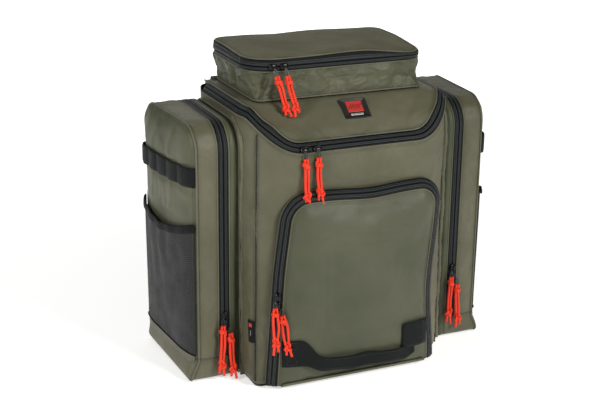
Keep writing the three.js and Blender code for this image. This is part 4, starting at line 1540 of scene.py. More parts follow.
add_zip("top_zip_lower", "main_lid", top_tape(T_SEAM + 0.4, T_CLOSE - 0.3))
stations = [((flared(a, T_RIM), b, skirt_top(a, b)), (flared(a, T_CLOSE), b, T_CLOSE + 0.3), (nx, ny, 0))
            for a, b, nx, ny in top_plan(-0.3)]
add_zip("top_zip_upper", "top_pocket_lid", stations + stations[:1])


front_path = upath(-F_HALF, F_HALF, 9, F_TOP, F_CORNER, F_CORNER, 5.5)


def front_tape(d0, d1):
    out = []
    for s in front_path:
        def at(d, s=s):
            a, b = inward(s, d)
            return skew((a, -(F_RIM + 0.4 + d * F_TILT * 1.17), b))
        out.append((at(d0), at(d1), unit((s[2] * F_TILT, -1, s[3] * F_TILT))))
    return out


add_zip("front_zip_inner", "pack", front_tape(0.4, 8.3))
add_zip("front_zip_outer", "front_flap", front_tape(16.9, 8.7))
# strip of lining inside the flap, over the seam between its cloth and the tape
facing = []
for d, depth in ((14.6, F_RIM + 10.2), (17.0, F_RIM + 11.4), (21.5, F_RIM + 12.6)):
    facing.append([skew((inward(s, d)[0], -depth, inward(s, d)[1])) for s in front_path])
facing = lattice("front_flap_facing", facing, "front_flap", [LINING, LINING], centre=(0, 0, 180))
dress(thicken(facing, 0.8, 1))
# and the cloth that carries each side pocket's back and top edge on to the round corner of the body
for tag, side in SIDES:
    line = [inward(s, 0.6) for s in side_u]
    line = [(line[0][0], z) for z in (0.7, 12, 24, 34)] + line + [(line[-1][0], z) for z in (34, 24, 12, 0.7)]
    tuck = [[(side * x, min(a, y), b) for a, b in line]
            for x, y in ((S_INNER + 0.6, 6), (S_INNER - 4, 2), (S_INNER - 10, -11))]
    # the tuck's darker cloth is painted shade
    tuck = lattice(tag + "_tray_tuck", tuck, "pack", [OLIVE_PAINTED_SHADE, LINING], centre=(side * 195, -110, 238))
    dress(thicken(tuck, 1.2, 1))
S_MID = (S_TRAY + S_COVER) / 2
for tag, side in SIDES:
    for kind, x0, x1, owner in (("inner", S_TRAY + 0.2, S_MID - 0.3, "pack"),
                                ("outer", S_COVER - 0.2, S_MID + 0.3, tag + "_cover")):
        stations = []
        for s in side_u:
            a, b = inward(s, 0.4)
            stations.append(((side * x0, a, b), (side * x1, a, b), (0, s[2], s[3])))
        add_zip(f"{tag}_zip_{kind}", owner, stations)

# front pocket's box edge: a rolled strip between the body and the zip
box_ring = outline(-F_HALF, F_HALF, F_BOTTOM, F_TOP, (10, 10, F_CORNER, F_CORNER), 6)
rows = []
for k in range(9):
    t = math.radians(-20 + 220 * k / 8)
    inset, y = 2.3 - 2.3 * math.cos(t) * 0.9, F_Y + 2.4 + 2.6 * math.sin(t)
    rows.append([(a, -y, b) for a, b, _, _ in box_ring(inset * 0.7)])
rows.append([(a, -(F_Y + 0.6), b) for a, b, _, _ in box_ring(2.6)])
box_edge = lattice("front_pocket_edge", rows, "pack", OLIVE, wrap=True, close_rows=True)
orient(box_edge)
mark_seams(box_edge, [[(a, -F_Y, b) for a, b, _, _ in box_ring(0)]], 5)
skew_mesh(box_edge)
dress(box_edge, "front_pocket_box")

# ---------------------------------------------------------------- side trays
TRAY_PROFILE = ((S_INNER + 0.4, 4.2), (S_INNER + 0.8, 3.4), (S_INNER + 4, 3.8), (207.5, 3.2), (210.5, 0.4),
                (213.5, -1.3), (218, -0.9), (S_TRAY, 0.4))
BASE_LEVELS = [S_LOW + v for v in (0, 0.7, 2.0, 4.1, 7, 10.5, 14)] + [24, 34, S_SEAM]


def tray_free(p):
    x = abs(p[0]) * 1000
    return smooth((S_TRAY - x) / 6) * smooth((x - S_INNER) / 5)


def base_free(p):
    z = p[2] * 1000
    return smooth((z - 8) / 8) * smooth((S_SEAM - 3 - z) / 10)


def build_tray(tag, side):
    rows = [[(side * x, a, b) for a, b, _, _ in side_ring(inset)] for x, inset in TRAY_PROFILE]
    # the tray's darker cloth is painted shade in the groove between pocket and body
    tray = lattice(tag + "_tray_cloth", rows, "pack", [OLIVE_PAINTED_SHADE, LINING], wrap=True,
                   centre=(side * 212, -110, 238))
    refine(tray)
    rumple(tray, 0.9, 24, 0.5, tray_free, 12.0 * side, (1, 1, 0.5))
    edges = [[(side * x, a, b) for a, b, _, _ in side_ring(0)] for x in (S_INNER + 4, S_TRAY + 1)]
    mark_seams(tray, edges, 10)
    thicken(tray, 1.8, 1)
    dress(tray, tag + "_pocket_tray")


def base_path():
    """Round the tray's foot below the cover's seam, from its front to its back."""
    path = [s for s in side_ring(0) if s[1] <= S_SEAM]
    middle = (-S_FRONT - S_BACK) / 2
    floor = sorted([s for s in path if s[1] <= S_LOW + 0.01], key=lambda s: s[0])
    upright = [s for s in path if s[1] > S_LOW + 0.01]
    front = sorted([s for s in upright if s[0] < middle], key=lambda s: -s[1])
    back = sorted([s for s in upright if s[0] >= middle], key=lambda s: s[1])
    return [(-S_FRONT, S_SEAM, -1, 0), *front, *floor, *back, (-S_BACK, S_SEAM, 1, 0)]


ROLL_OUT = 5.4  # how far the turned seam lies outside the tray


def roll_radius(t):
    return 4.4 + 0.5 * math.sin(t * 70) + 0.35 * math.sin(t * 191 + 1)


for tag, side in SIDES:
    build_tray(tag, side)
    # floor and low wall outside the tray, below the cover's seam
    rows = []
    for z in BASE_LEVELS:
        ys = np.linspace(*side_span(z), 29).tolist()
        rows.append([(side * cover_face(y, z), y, z) for y in ys])
    low = lattice(tag + "_base_panel", rows, "pack", [OLIVE, LINING], centre=(side * 200, -110, 60))
    strip_path = base_path()
    rows = gusset_rows(side, lambda s: (S_TRAY - 0.6, edge_x(s[0], s[1]) - 0.5), strip_path, 0.6)
    under = lattice(tag + "_base_gusset", rows, "pack", [OLIVE, LINING], centre=(side * 250, -110, 60))
    for o, seed in ((low, 21), (under, 27)):
        refine(o)
        rumple(o, 0.9, 22, 0.5, base_free, seed * side)
    skirt = [(side * edge_x(a, b), a, b) for a, b, _, _ in side_ring(0)]
    mark_seams(low, [cover_feet[tag], skirt])
    mark_seams(under, [skirt, [(side * x, -S_FRONT, S_SEAM) for x in (S_TRAY, 275)]])
    thicken(low, 2.0, 1)
    thicken(under, 2.0, 1)

    # welts: round the outer panel, and round the tray where it meets the body
    high = [(side * (outer_x(s[0]) - 7.9), *inward(s, 0.2)) for s in side_u]
    piping(tag + "_cover_welt", high, 2.0, tag + "_cover")
    low_edge = [(side * edge_x(s[0], s[1]), *inward(s, 0.2)) for s in strip_path]
    piping(tag + "_base_welt", low_edge, 2.0, "pack")
    # thick turned seam down the front, where the tray meets the body
    roll = [(side * (199.2 + 0.9 * math.sin(z / 21 + side)), -(S_FRONT + ROLL_OUT), z)
            for z in range(9, 425, 3)]
    for a in (math.radians(4 * k) for k in range(1, 20)):
        y = -(S_FRONT - S_FRONT_R) - (S_FRONT_R + ROLL_OUT) * math.cos(a)
        roll.append((side * 199.4, y, 424 + (S_FRONT_R + ROLL_OUT) * math.sin(a)))
    piping(tag + "_turned_seam", roll, roll_radius, "pack")
    tray_line = [(side * (S_INNER + 1.3), a, b) for a, b, _, _ in side_ring(0.6)]
    piping(tag + "_tray_welt", tray_line, 1.7, "pack", closed=True)
    for kind, x, owner in (("cover", S_COVER + 0.6, tag + "_cover"), ("tray", S_TRAY - 0.4, "pack")):
        piping(f"{tag}_{kind}_lip", [(side * x, *inward(s, 0.1)) for s in side_u], 1.4, owner)
    # hinge cloth along the base seam of the outer face
    rows = []
    ys = np.linspace(-S_FRONT + 5, -S_BACK - 5, 31).tolist()
    for z in (S_SEAM + d for d in (-7, -4, -1.5, 0.4, 2.5, 5, 8)):
        rows.append([(side * (cover_face(y, z) + 0.9), y, z) for y in ys])
    strip_obj = lattice(tag + "_hinge_band", rows, None, [OLIVE, LINING], centre=(side * 200, -110, S_SEAM))
    thicken(strip_obj, 0.8, 1)
    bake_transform(strip_obj)

# ---------------------------------------------------------------- back: pad, straps and haul handle
refine(back_pad)


def quilting(y, z0, z1):
    """The pad's quilted lines at depth y: two columns from z0 to z1, then the three rows."""
    columns = [[(x, y, z) for z in range(z0, z1, 5)] for x in PAD_COLUMNS]
    return columns + [[(x, y, z) for x in range(-150, 151, 5)] for z in PAD_LINES]


mark_seams(back_pad, quilting(12, PAD_LOW + 4, PAD_TOP - 3), 10)
back_face = surface_of(back_pad)
pad_ring = outline(-PAD_HALF, PAD_HALF, PAD_LOW, PAD_TOP, (PAD_R,) * 4, 6)
pad_edge = [(a, 3.4, b) for a, b, _, _ in pad_ring(-0.6)]
dress(tube("back_pad_binding", pad_edge, 3.0, "pack", BINDING, True, 10, 0.9, up=(0, 1, 0)))


def sewn_band(name, stations, body_name, stands_for=None, across=9, mat=WEBBING, crown=0.0):
    return dress(band(name, stations, body_name, mat, across, crown), stands_for)


# x, y, z and width of the webbing from the ladder lock to its anchor, and of the strap's upper anchor
LOW_RUN = [(101, 28.2, 166, 25), (102, 29.0, 150, 25), (105, 28.0, 132, 25), (110, 26.4, 112, 25),
           (122, 24.2, 86, 25), (134, 22.6, 68, 25), (141, 22.0, 58, 25)]
ANCHOR_RUN = [(55, 16.5, 478, 50), (55, 20.5, 472, 52), (55.5, 24.5, 465, 54), (56, 28.4, 456, 56),
              (57, 33.0, 447, 56)]
# outline of the wing of cloth that holds the webbing's end to the bag's lower corner, and the thread on it
WING = [(128, 78), (176, 52), (176, 24), (138, 38), (122, 50)]
WING_THREAD = [(131, 74), (150, 62), (156, 40), (140, 42), (127, 52)]
wing_lines = []
for tag, side in SIDES:
    pad = strap_pads[tag]
    refine(pad)
    count = len(strap_stations)
    edges = []
    for sign in (-1, 1):
        pts = []
        for i in range(count):
            c, w, _ = strap_frame(i, side)
            pts.append(tuple(c + w * (sign * (strap_stations[i][3] / 2 - 0.4))))
        edges.append(pts)
        edge_name = f"{tag}_strap_binding_{'out' if sign > 0 else 'in'}"
        dress(tube(edge_name, pts, 2.6, "pack", BINDING))
    mark_seams(pad, edges, 10)
    stations = []
    for i in range(4, count - 1):
        c, w, n = strap_frame(i, side)
        lift = strap_stations[i][4] / 2 + 0.3
        loop = 2.2 * max(0.0, math.sin((i - 4) / 9 * math.pi) ** 2) if 4 < i < 50 else 0
        stations.append((tuple(c + n * (lift + loop * 0.6)), tuple(w), tuple(n), 25, 1.7))
    sewn_band(tag + "_strap_top_webbing", stations, "pack")
    low = spline(LOW_RUN, 36)
    pts = [(side * p[0], p[1], p[2]) for p in low]
    stations = [(p, *map(tuple, across_and_out(t)), 24.5, 1.7) for p, t in zip(pts, frames_along(pts))]
    sewn_band(tag + "_strap_low_webbing", stations, "pack", tag + "_strap_webbing")
    outer = [mix(WING[k], WING[(k + 1) % 5], t) for k in range(5) for t in (0, 0.25, 0.5, 0.75)]
    rows = [[(side * x, y - max(0, x - 158) * 0.9, z) for x, z in outer] for y in (19.6, 21.6)]
    dress(orient(lattice(tag + "_strap_wing", rows, "pack", OLIVE, wrap=True, caps=True)))
    wing_lines.append([(side * x, 21.6, z) for x, z in WING_THREAD])
    stations = [((side * x, y, z), (1, 0, 0), (0, 1, 0.3), w, 2.4) for x, y, z, w in ANCHOR_RUN]
    sewn_band(tag + "_strap_anchor", stations, "pack")

# the CAD's own ladder locks and board stay, in their materials
for name, mat in (("left_ladder_lock", PLASTIC), ("right_ladder_lock", PLASTIC), ("stiffener_board", BOARD)):
    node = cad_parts[name]
    node.data.materials.clear()
    node.data.materials.append(mat)

stations = []
for i in range(33):
    a = math.pi * i / 32
    place = (lerp(-19, 19, i / 32), 35, 456 + 29.5 * math.sin(a) ** 0.6)
    stations.append((place, (0, 1, 0), (-math.cos(a), 0, math.sin(a) + 0.2), 24.5, 2.2))
sewn_band("haul_handle_webbing", stations, "pack", "haul_handle")
stations = [((x, 22.4, 452), (0, 0.2, 1), (0, 1, -0.2), 24, 2.6) for x in np.linspace(-32, 32, 15).tolist()]
sewn_band("haul_handle_patch", stations, "pack")

rows = [foot_row(inset, z) for inset, z in ((9.5, 5.2), (8.8, 3.6), (9.3, 1.4), (13, 0.2), (16, 0))]
rows += [foot_row(16, 0.6, s) for s in (0.9, 0.5, 0.1)]
base = orient(lattice("base_tray_moulding", rows, "pack", BASE, wrap=True, caps=True))
dress(base, "base_tray")
dress(tube("base_piping", foot_row(8.5, 3.4), 2.2, "pack", BASE, True, 10, 1.15))

# ---------------------------------------------------------------- front handle
# x, then how far the webbing stands off the panel, its height, the height of its middle, its thickness
HANDLE = [(-140.4, 0.0, 50, 72, 1.9), (-110, 0.4, 50, 72, 1.9), (-100, 1.4, 47, 70, 2.2),
          (-90, 4.0, 38, 62, 3.0), (-78, 6.8, 29, 50.5, 4.4), (-60, 8.4, 26, 46, 5.2),
          (-20, 9.3, 26, 43.5, 5.2), (30, 9.2, 26, 41, 5.2), (70, 8.0, 26, 39.5, 5.0),
          (92, 5.0, 26, 40, 4.2), (104, 1.6, 25, 44, 2.6), (112, 0.2, 24, 48, 1.9)]
PATCH_X = (86.0, 140.4)


def handle_at(x, column):
    return sum(along([(h[0], h[column]) for h in HANDLE], x + d) for d in (-5, -2.5, 0, 2.5, 5)) / 5


stations = []
for k in range(97):
    x = lerp(HANDLE[0][0], HANDLE[-1][0], k / 96)
    lift, tall, z, thick = (handle_at(x, column) for column in (1, 2, 3, 4))
    wavy = clamp((50 - tall) / 24)
    z += wavy * (1.2 * math.sin(x / 21 + 0.6) + 0.7 * math.sin(x / 9.0))
    face = flap_edge + flap_bulge(x, z)
    lift = max(0, lift - wavy * (0.8 + 0.8 * math.sin(x / 14)))
    tilt = wavy * 0.35 * math.sin(x / 17 + 1)
    place = skew((x, -(face + 0.9 + thick / 2 + lift), z))
    stations.append((place, (0, tilt * 0.4, 1), (0, -1, tilt * 0.4), tall, thick))
handle = sewn_band("front_handle_webbing", stations, "front_flap", "front_handle", across=11)
stations = []
for k in range(17):
    x = lerp(*PATCH_X, k / 16)
    tall = 50 - 5 * math.exp(-(x - PATCH_X[0]) / 2.5)
    stations.append((skew((x, -(flap_edge + flap_bulge(x, 72) + 3.9), 72)), (0, 0, 1), (0, -1, 0), tall, 2.0))
patch = sewn_band("front_handle_patch", stations, "front_flap")

# ---------------------------------------------------------------- side webbing, mesh pockets
WEB_STEPS, LOOPS = 84, 5
NET_COLS, NET_ROWS = 53, 31


def net_place(side, u, v, lift=0.0):
    """Point on the mesh pocket, u along it and v up it, lift outside the net."""
    y = lerp(-S_FRONT + 2.2, -S_BACK - 2.6, u)
    hem = MESH_MID + (MESH_FRONT - MESH_MID) * clamp(1 - u / 0.55) ** 1.6
    hem += (MESH_BACK - MESH_MID) * clamp((u - 0.5) / 0.5) ** 1.4
    z = lerp(MESH_LOW, hem, v)
    belly = MESH_BELLY * math.sin(math.pi * clamp(u)) ** 0.7 * (0.14 + 0.86 * smooth(v * 1.15))
    # slack folds run down from the elastic hem
    phase = u * 31 + 1.2 * math.sin(v * 5) + (0.7 if side > 0 else 0)
    fold = 1.3 * v ** 1.5 * math.sin(math.pi * u) * math.sin(phase)
    return (side * (cover_face(y, z) + 1.9 + belly + fold + lift), y, z)


for tag, side in SIDES:
    stations, tacks = [], []
    for i in range(WEB_STEPS + 1):
        t = i / WEB_STEPS
        y = lerp(-S_FRONT + 1.5, -S_BACK - 1.5, t)
        z = lerp(*WEB_Z, t)
        loop = abs(math.sin(math.pi * t * LOOPS)) ** 0.7 * 4.2
        slope = (cover_face(y + 2.0, z) - cover_face(y - 2.0, z)) / 4.0
        n = unit((side, -slope, 0))
        lift = 1.5 + loop
        place = (side * cover_face(y, z) + n.x * lift, y + n.y * lift, z)
        stations.append((place, (0, 0, 1), tuple(n), 35, 1.8))
        if i % (WEB_STEPS // LOOPS) == 0 or i == WEB_STEPS:
            tacks.append(i)
    obj = sewn_band(tag + "_webbing", stations, tag + "_cover", tag + "_side_webbing")
    # bar tacks
    lines = []
    for i in tacks[1:-1]:
        (x, y, z), _, n, _, _ = stations[i]
        for off in (-1.5, 0, 1.5):
            lines.append([(x + n[0] * 0.9, y + off, z + h) for h in (-15.5, 15.5)])
    tack_face = surface_of(obj)
    o = stitches(tag + "_bar_tacks", lines, tag + "_cover", THREAD_BLACK, tack_face, 1.9, 2.1, 0.5, 0.15)

    def net_point(u, v, lift=0.0, side=side):
        return net_place(side, u, v, lift)

    marks = [i / (NET_COLS - 1) for i in range(NET_COLS)]
    rows = [[net_point(u, j / (NET_ROWS - 1)) for u in marks] for j in range(NET_ROWS)]
    net = lattice(tag + "_net", rows, tag + "_cover", NET, centre=(side * 200, -110, 150))
    refine(net)
    thicken(net, 0.8)
    dress(net, tag + "_mesh_pocket")
    stations = []
    for u in marks:
        p, q, r = (net_point(at, 1.0, 0.9) for at in (u, min(u + 0.02, 1), max(u - 0.02, 0)))
        t = unit(Vector(q) - Vector(r))
        n = unit(Vector((side, 0, 0)) - t * t.x * side)
        w = t.cross(n)
        gather = 0.35 * math.sin(u * 150)
        c = Vector(p) - (w if w.z > 0 else -w) * 6.0 + n * gather
        stations.append((tuple(c), tuple(w), tuple(n), 14.5, 2.6))
    hem = sewn_band(tag + "_net_hem", stations, tag + "_cover", mat=BINDING, crown=0.5)
    half_way = [net_point(i / 40, 0.5) for i in range(41)]
    width = 0.001 * sum(math.dist(a, b) for a, b in zip(half_way, half_way[1:]))
    foot = [net_point(i / 40, 0.0, 0.3) for i in range(41)]
    dress(tube(tag + "_net_foot", foot, 1.5, tag + "_cover", BINDING, squeeze=0.7))

# ---------------------------------------------------------------- label and side tab (plain, no lettering)
def plate(name, centre, u, v, n, half_u, half_v, thick, body_name, mat, corner=3.0, rim=0.0):
    """Soft-edged patch standing off a surface; rim raises its border."""
    ring = outline(-half_u, half_u, -half_v, half_v, (corner,) * 4, 3.0)
    c, u, v, n = Vector(centre), unit(u), unit(v), unit(n)
    layers = [(0.3, 0), (0, 0.25 * thick), (0, 0.75 * thick), (0.5, thick + rim), (1.6, thick + rim)]
    if rim:
        layers += [(2.2, thick)]
    layers += [(min(half_u, half_v) * 0.7, thick)]
    rows = [[tuple(c + u * a + v * b + n * h) for a, b, _, _ in ring(inset)] for inset, h in layers]
    return orient(lattice(name, rows, body_name, mat, wrap=True, caps=True))


X_AXIS, Z_AXIS = Vector((1, 0, 0)), Vector((0, 0, 1))
slope_y, slope_z = -(lid_front + SLOPE_START), FRONT_Z + ZIP_BAND - lid_top
down = unit((0, slope_y, slope_z))
face_n = unit(X_AXIS.cross(-down))
spot = Vector((12, SLOPE_START + slope_y * 0.42, lid_top + slope_z * 0.42))
spot = Vector(mm(lid_face.find_nearest(put(spot))[0])) - down * 3.5
label = plate("lid_patch", spot - face_n * 0.9, X_AXIS, down, face_n, 25.5, 21.5, 2.2, "main_lid", RUBBER,
              rim=0.5)
dress(label, "lid_label")
for name, off, hu, hv, mat in (("lid_patch_field", -3.4, 15, 11.4, RUBBER_RED),
                               ("lid_patch_bar", 13.0, 12.0, 1.8, RUBBER_PALE)):
    centre = spot + down * off + face_n * 1.2
    dress(plate(name, centre, X_AXIS, down, face_n, hu, hv, 0.7, "main_lid", mat, 1.2))
ridge = []
for k in range(-2, 3):
    run = [tuple(spot + X_AXIS * (k * 4.8 + d) + down * (-3.2 - d * 1.2) + face_n * 1.95)
           for d in (-4, -2, 0, 2, 4)]
    ridge.append(tube(f"ridge{k}", run, 0.55, "main_lid", RUBBER, False, 6))
dress(join("lid_patch_ridges", ridge, "main_lid"))

TAB_STEPS = 6
tab_angles = [CORNER_SEAM - 26 * k / TAB_STEPS for k in range(TAB_STEPS + 1)]
tab_rise = [math.sin(math.pi * k / TAB_STEPS) for k in range(TAB_STEPS + 1)]
tab_inner = [0.4 + 0.8 * rise + (0.8 if k else 0) for k, rise in enumerate(tab_rise)]
tab_outer = [2.0 + 1.4 * rise for rise in tab_rise]
rows = []
for z in (86, 87, 93, 100, 107, 114, 121, 125, 126):
    ring = [corner_point(a, z, off) for a, off in zip(tab_angles, tab_inner)]
    ring += [corner_point(a, z, off) for a, off in zip(reversed(tab_angles), reversed(tab_outer))]
    rows.append(ring)
dress(orient(lattice("side_tab", rows, "pack", BINDING, wrap=True, caps=True)))
n_tab = unit((math.cos(math.radians(204)), math.sin(math.radians(204)), 0))
t_tab = n_tab.cross(Z_AXIS)
for name, z, hu, hv, thick, mat, corner in (("side_tab_mark", 118, 3.6, 3.6, 0.5, RUBBER_RED, 1.0),
                                            ("side_tab_line", 101, 0.9, 8.0, 0.4, RUBBER_PALE, 0.6)):
    centre = corner_point(203.5, z, 3.1)
    dress(plate(name, centre, t_tab, Z_AXIS, n_tab, hu, hv, thick, "pack", mat, corner))

# ---------------------------------------------------------------- sliders and cord pulls
# the block's edge in profile, and its half width and height along the zip
SLIDER_SIDE = [(-0.86, 0), (-1, 0.16), (-1, 0.36), (-0.84, 0.44), (-0.84, 0.56), (-1, 0.64), (-1, 0.84),
               (-0.78, 1)]
SLIDER_RUN = [(-7.6, 2.6, 3.4), (-7.0, 3.9, 4.8), (-4.2, 5.1, 5.8), (-0.8, 5.4, 6.2), (2.4, 5.2, 6.2),
              (5.4, 4.5, 5.6), (7.0, 3.8, 4.6), (7.6, 2.6, 3.6)]


def slider(name, base, direction, out):
    """Zip slider on the body of its own name: two waisted plates, a nose and a bridge for the wire loop."""
    d, n = unit(direction), unit(out)
    w = d.cross(n)
    c = Vector(base)
    ring = SLIDER_SIDE + [(-a, b) for a, b in reversed(SLIDER_SIDE)]
    rows = []
    for u, half, tall in SLIDER_RUN:
        rows.append([tuple(c + d * u + w * (a * half) + n * (b * tall - 0.4)) for a, b in ring])
    block = orient(lattice(name + "_block", rows, name, METAL, wrap=True, caps=True))
    turns = [math.pi * k / 12 for k in range(13)]
    arch = [tuple(c + d * (5.0 * math.cos(a)) + n * (5.0 + 4.0 * math.sin(a) ** 0.8)) for a in turns]
    bridge = tube(name + "_bridge", arch, 1.35, name, METAL, squeeze=0.8, up=tuple(w))
    pin = tube(name + "_pin", [tuple(c + n * 5.0 + w * s) for s in (-2.2, 2.2)], 0.9, name, METAL)
    dress(join(name + "_body", [block, bridge, pin], name), name)


CORD_MM = 4.8  # the cord's diameter
WIRE_MM = 14.5  # length of the wire loop


def cord_curve(name, points, body_name):
    data = bpy.data.curves.new(name, "CURVE")
    data.dimensions = "3D"
    data.bevel_depth = CORD_MM * 0.0005
    data.bevel_resolution = 4
    data.use_fill_caps = True
    line = data.splines.new("POLY")
    line.points.add(len(points) - 1)
    for p, q in zip(line.points, points):
        p.co = (*put(q), 1)
    obj = bpy.data.objects.new(name, data)
    scene.collection.objects.link(obj)
    obj.data.materials.append(CORD)
    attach(obj, body_name)
    return obj


def pull(name, pivot, length, lean, seed, swing=0.0, bow=0.6):
    """Wire loop, hitch, two strands of cord, an overhand knot and two tails, hanging from a slider."""
    p0 = Vector(pivot)
    s = unit((swing, -lean, -length))
    x = unit(Vector((1, 0, 0)) - s * s.x)
    n = x.cross(s)
    if n.y > 0:
        n = -n

    def at(run, u, v=0.0):
        return tuple(p0 + s * run + x * u + n * v)

    turns = [math.tau * k / 28 for k in range(28)]
    loop = [at(WIRE_MM / 2 - (WIRE_MM / 2 - 0.4) * math.cos(a), 2.9 * math.sin(a) * (1.0 - 0.25 * math.cos(a)))
            for a in turns]
    wire = dress(tube(name + "_wire", loop, 0.75, name, WIRE, True, up=tuple(n)))
    knot_at = length * 0.81 + 1.5 * math.sin(seed * 2.3)
    hitch = []
    for k in range(41):
        a = math.tau * 2.2 * k / 40 + seed
        run = WIRE_MM + 7.5 + 6.6 * k / 40 + 1.6 * math.cos(a)
        hitch.append(at(run, 5.3 * math.cos(a), 3.9 * math.sin(a)))
    band_obj = dress(tube(name + "_hitch", hitch, 2.05, name, CORD))
    ring = []
    turn = 0.5 * math.sin(seed * 1.9)
    for k in range(64):
        a = math.tau * k / 64
        u, w, v = math.sin(a) + 2 * math.sin(2 * a), math.cos(a) - 2 * math.cos(2 * a), -math.sin(3 * a)
        u, w = u * math.cos(turn) - w * math.sin(turn), u * math.sin(turn) + w * math.cos(turn)
        ring.append(at(knot_at + w * 2.9, u * 2.15, v * 3.0))
    knot = dress(tube(name + "_knot", ring, 2.4, name, CORD, True))
    for which, sign in (("l", -1), ("r", 1)):
        pts = []
        end = length + (2.5 if (sign > 0) == (math.sin(seed) > 0) else -3.0)
        for k in range(34):
            t = k / 33
            run = lerp(WIRE_MM - 1.4, end, t)
            before = clamp((run - WIRE_MM) / (knot_at - WIRE_MM))
            after = clamp((run - knot_at) / (end - knot_at))
            middle = math.sin(math.pi * before)
            u = sign * (2.35 + bow * middle + 1.9 * smooth(after))
            u += 1.1 * math.sin(seed + before * 4.0) * middle
            v = sign * 0.9 * math.sin(before * 5 + seed) * middle + 0.8 * sign * smooth(after)
            if t < 0.06:
                v += 1.0 * (1 - t / 0.06)
            pts.append(at(run, u, v))
        strand = dress(cord_curve(f"{name}_strand_{which}", pts, name))
        real = 0.001 * sum(math.dist(a, b) for a, b in zip(pts, pts[1:]))
        tuple(put(at(WIRE_MM - 2, 0)))
        if which == "l":
            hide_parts(name)


MAIN_MID = 4.66  # how far in from the wall the main zip's sliders run
main_lift = 1.6 * math.sqrt(0.5) + 0.5
main_y = -(DEPTH - MAIN_MID + main_lift)
main_z = FRONT_Z + MAIN_MID + main_lift
for tag, x, seed in (("a", -108, 1.0), ("b", -84, 2.6)):
    slider("main_slider_" + tag, (x, main_y + 0.7, main_z - 0.7), (1, 0, 0), (0, -1, 1))
    pull("main_pull_" + tag, (x, main_y - 6.5, main_z - 1), 96 if tag == "a" else 93, 13, seed)
for tag, x, seed, swing in (("a", -132, 0.4, 17), ("b", -112, 3.4, 12)):
    back = 2.2 if tag == "a" else 0.3
    slider("top_slider_" + tag, (x, -(T_FRONT + 0.9) + back, T_CLOSE), (1, 0, 0), (0, -1, 0))
    pivot = (x, -(T_FRONT + 0.6) - 9.4 + back, T_CLOSE - 2)
    pull("top_pull_" + tag, pivot, 84 if tag == "a" else 82, 29, seed, swing)


def upright_pair(tag, place, z, tilt, length, out, seed, swings, bow):
    for which, dz, dx, swing in (("a", 0, -6.2, swings[0]), ("b", -16, 6.2, swings[1])):
        x, y = place(z + dz)[:2]
        slider(f"{tag}_slider_{which}", (x, y + 0.5, z + dz), (0, 0, 1), out)
        pull(f"{tag}_pull_{which}", (x + tilt + dx, y - 10.7, z + dz - 2),
             length if which == "a" else length - 6, 3, seed + (1.7 if which == "b" else 0), swing, bow)


front_out = unit((-F_TILT, -1, 0))
front_base = Vector((-F_HALF + 10, -(F_RIM + 0.4 + 10 * F_TILT + 1.6), 0)) + front_out * 0.6
upright_pair("front", lambda z: skew((*front_base[:2], z)), 178, -4, 98, front_out, 5.1, (1, 15), 2.4)
upright_pair("left", lambda z: (-S_MID, -(S_FRONT + 0.8)), 124, 0, 106, (0, -1, 0), 6.3, (-5, 6), 0.8)
upright_pair("right", lambda z: (S_MID, -(S_FRONT + 0.8)), 146, 0, 106, (0, -1, 0), 7.9, (-4, 5), 0.8)

# ---------------------------------------------------------------- thread
def sew(name, body_name, lines, surface, mat=THREAD, slot_name="shell_fabric", **kw):
    dress(stitches(name, lines, body_name, mat, surface, **kw))


inner_lid = [(x * 0.975, y + (4.5 if y < -200 else 0), z) for x, y, z in lid_rim]
sew("lid_stitching", "main_lid", [densify(inner_lid)], lid_face)
sew("top_pocket_stitching", "main_lid", [top_level(-1, T_BASE + 6), top_level(-1, T_BASE + 9)], top_face)
inner_top = [(x, y, z + droop(x, y)) for x, y, z in top_level(7.5, T_TOP + 0.5)]
sew("top_lid_stitching", "top_pocket_lid", [inner_top], top_lid_face)
sew("flap_stitching", "front_flap", [[skew(p) for p in densify(flap_line(6.0, 0, 12))]], flap_face)
handle_face = surface_of(handle, patch)
boxes = []
for side in (-1, 1):
    y = -(flap_edge + 12)
    near = 113 if side < 0 else 96
    for x in (near, 134):
        boxes.append([(side * x, y, 72 + h) for h in (-21, 21)])
    for h in (-21, 21):
        boxes.append([(side * x, y, 72 + h) for x in (near, 134)])
    boxes.append([(side * near, y, 51), (side * 134, y, 93)])
    boxes.append([(side * near, y, 93), (side * 134, y, 51)])
for h in (-9.5, 9.5):
    boxes.append([(x, -(flap_edge + 30), handle_at(x, 3) + h) for x in range(-70, 88, 4)])
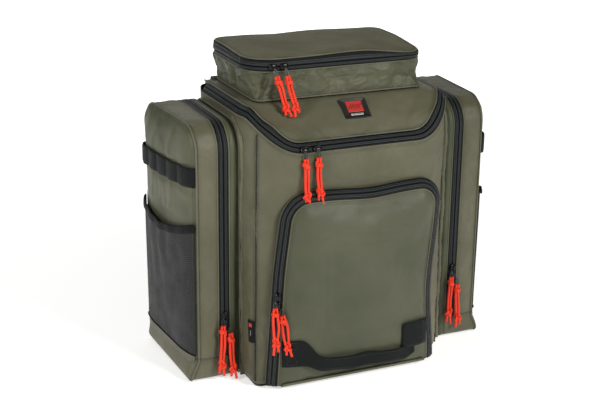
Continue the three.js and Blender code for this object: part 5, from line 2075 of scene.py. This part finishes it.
boxes = [[skew(p) for p in densify(line)] for line in boxes]
sew("handle_stitching", "front_flap", boxes, handle_face, THREAD_BLACK, "webbing", pitch=3.2, length=2.3,
    radius=0.4)
seam_rows = []
for side in (-1, 1):
    for d in (-4.5, 4.5):
        row = []
        for z in range(22, 456, 5):
            turn = math.degrees(d / corner_radius(CORNER_SEAM, z, side))
            row.append(corner_point(CORNER_SEAM + turn, z, 0, side))
        seam_rows.append(row)
rim_row = [(x, y, z - 6) for x, y, z in rim_path(-0.3, 0)]
sew("body_stitching", "pack", seam_rows + [rim_row], body_face)
for tag, side in SIDES:
    row = [(side * cover_face(*inward(s, 6.0)), *inward(s, 6.0)) for s in side_u]
    sew(tag + "_cover_stitching", tag + "_cover", [row], cover_faces[tag])
sew("pad_stitching", "pack", quilting(14, PAD_LOW + 8, PAD_TOP - 6), back_face, THREAD_BLACK, "spacer_mesh")
sew("wing_stitching", "pack", wing_lines, None, THREAD_BLACK)

# ---------------------------------------------------------------- floor and light
bpy.ops.mesh.primitive_plane_add(size=14)
ground = bpy.context.object
ground.name = "floor"
n = Nodes("floor_paper")
spots = n.noise(n.coord("Object"), 3.0)
n.shade(Base_Color=n.blend(spots, (0.90, 0.90, 0.90, 1), (0.92, 0.92, 0.92, 1)), Roughness=0.85,
        Specular_IOR_Level=0.1, Emission_Color=(1, 1, 1, 1), Emission_Strength=0.5)
ground.data.materials.append(n.material)
world = bpy.data.worlds.new("studio")
scene.world = world
world.use_nodes = True
world.node_tree.nodes["Background"].inputs[0].default_value = (0.92, 1.0, 0.94, 1)
world.node_tree.nodes["Background"].inputs[1].default_value = 0.13
scene.view_settings.view_transform = "Standard"
area_light("key", (1.2, -2.6, 1.9), (0, -0.1, 0.3), (1.0, 1.2), 88, (1.0, 0.97, 0.94))
area_light("fill", (-2.9, -1.0, 1.6), (0, 0, 0.3), (0.9, 1.2), 56, (1.0, 0.97, 0.94))
area_light("far_floor", (0.4, 3.4, 2.2), (0.4, 3.8, 0), (5.0, 2.0), 110)
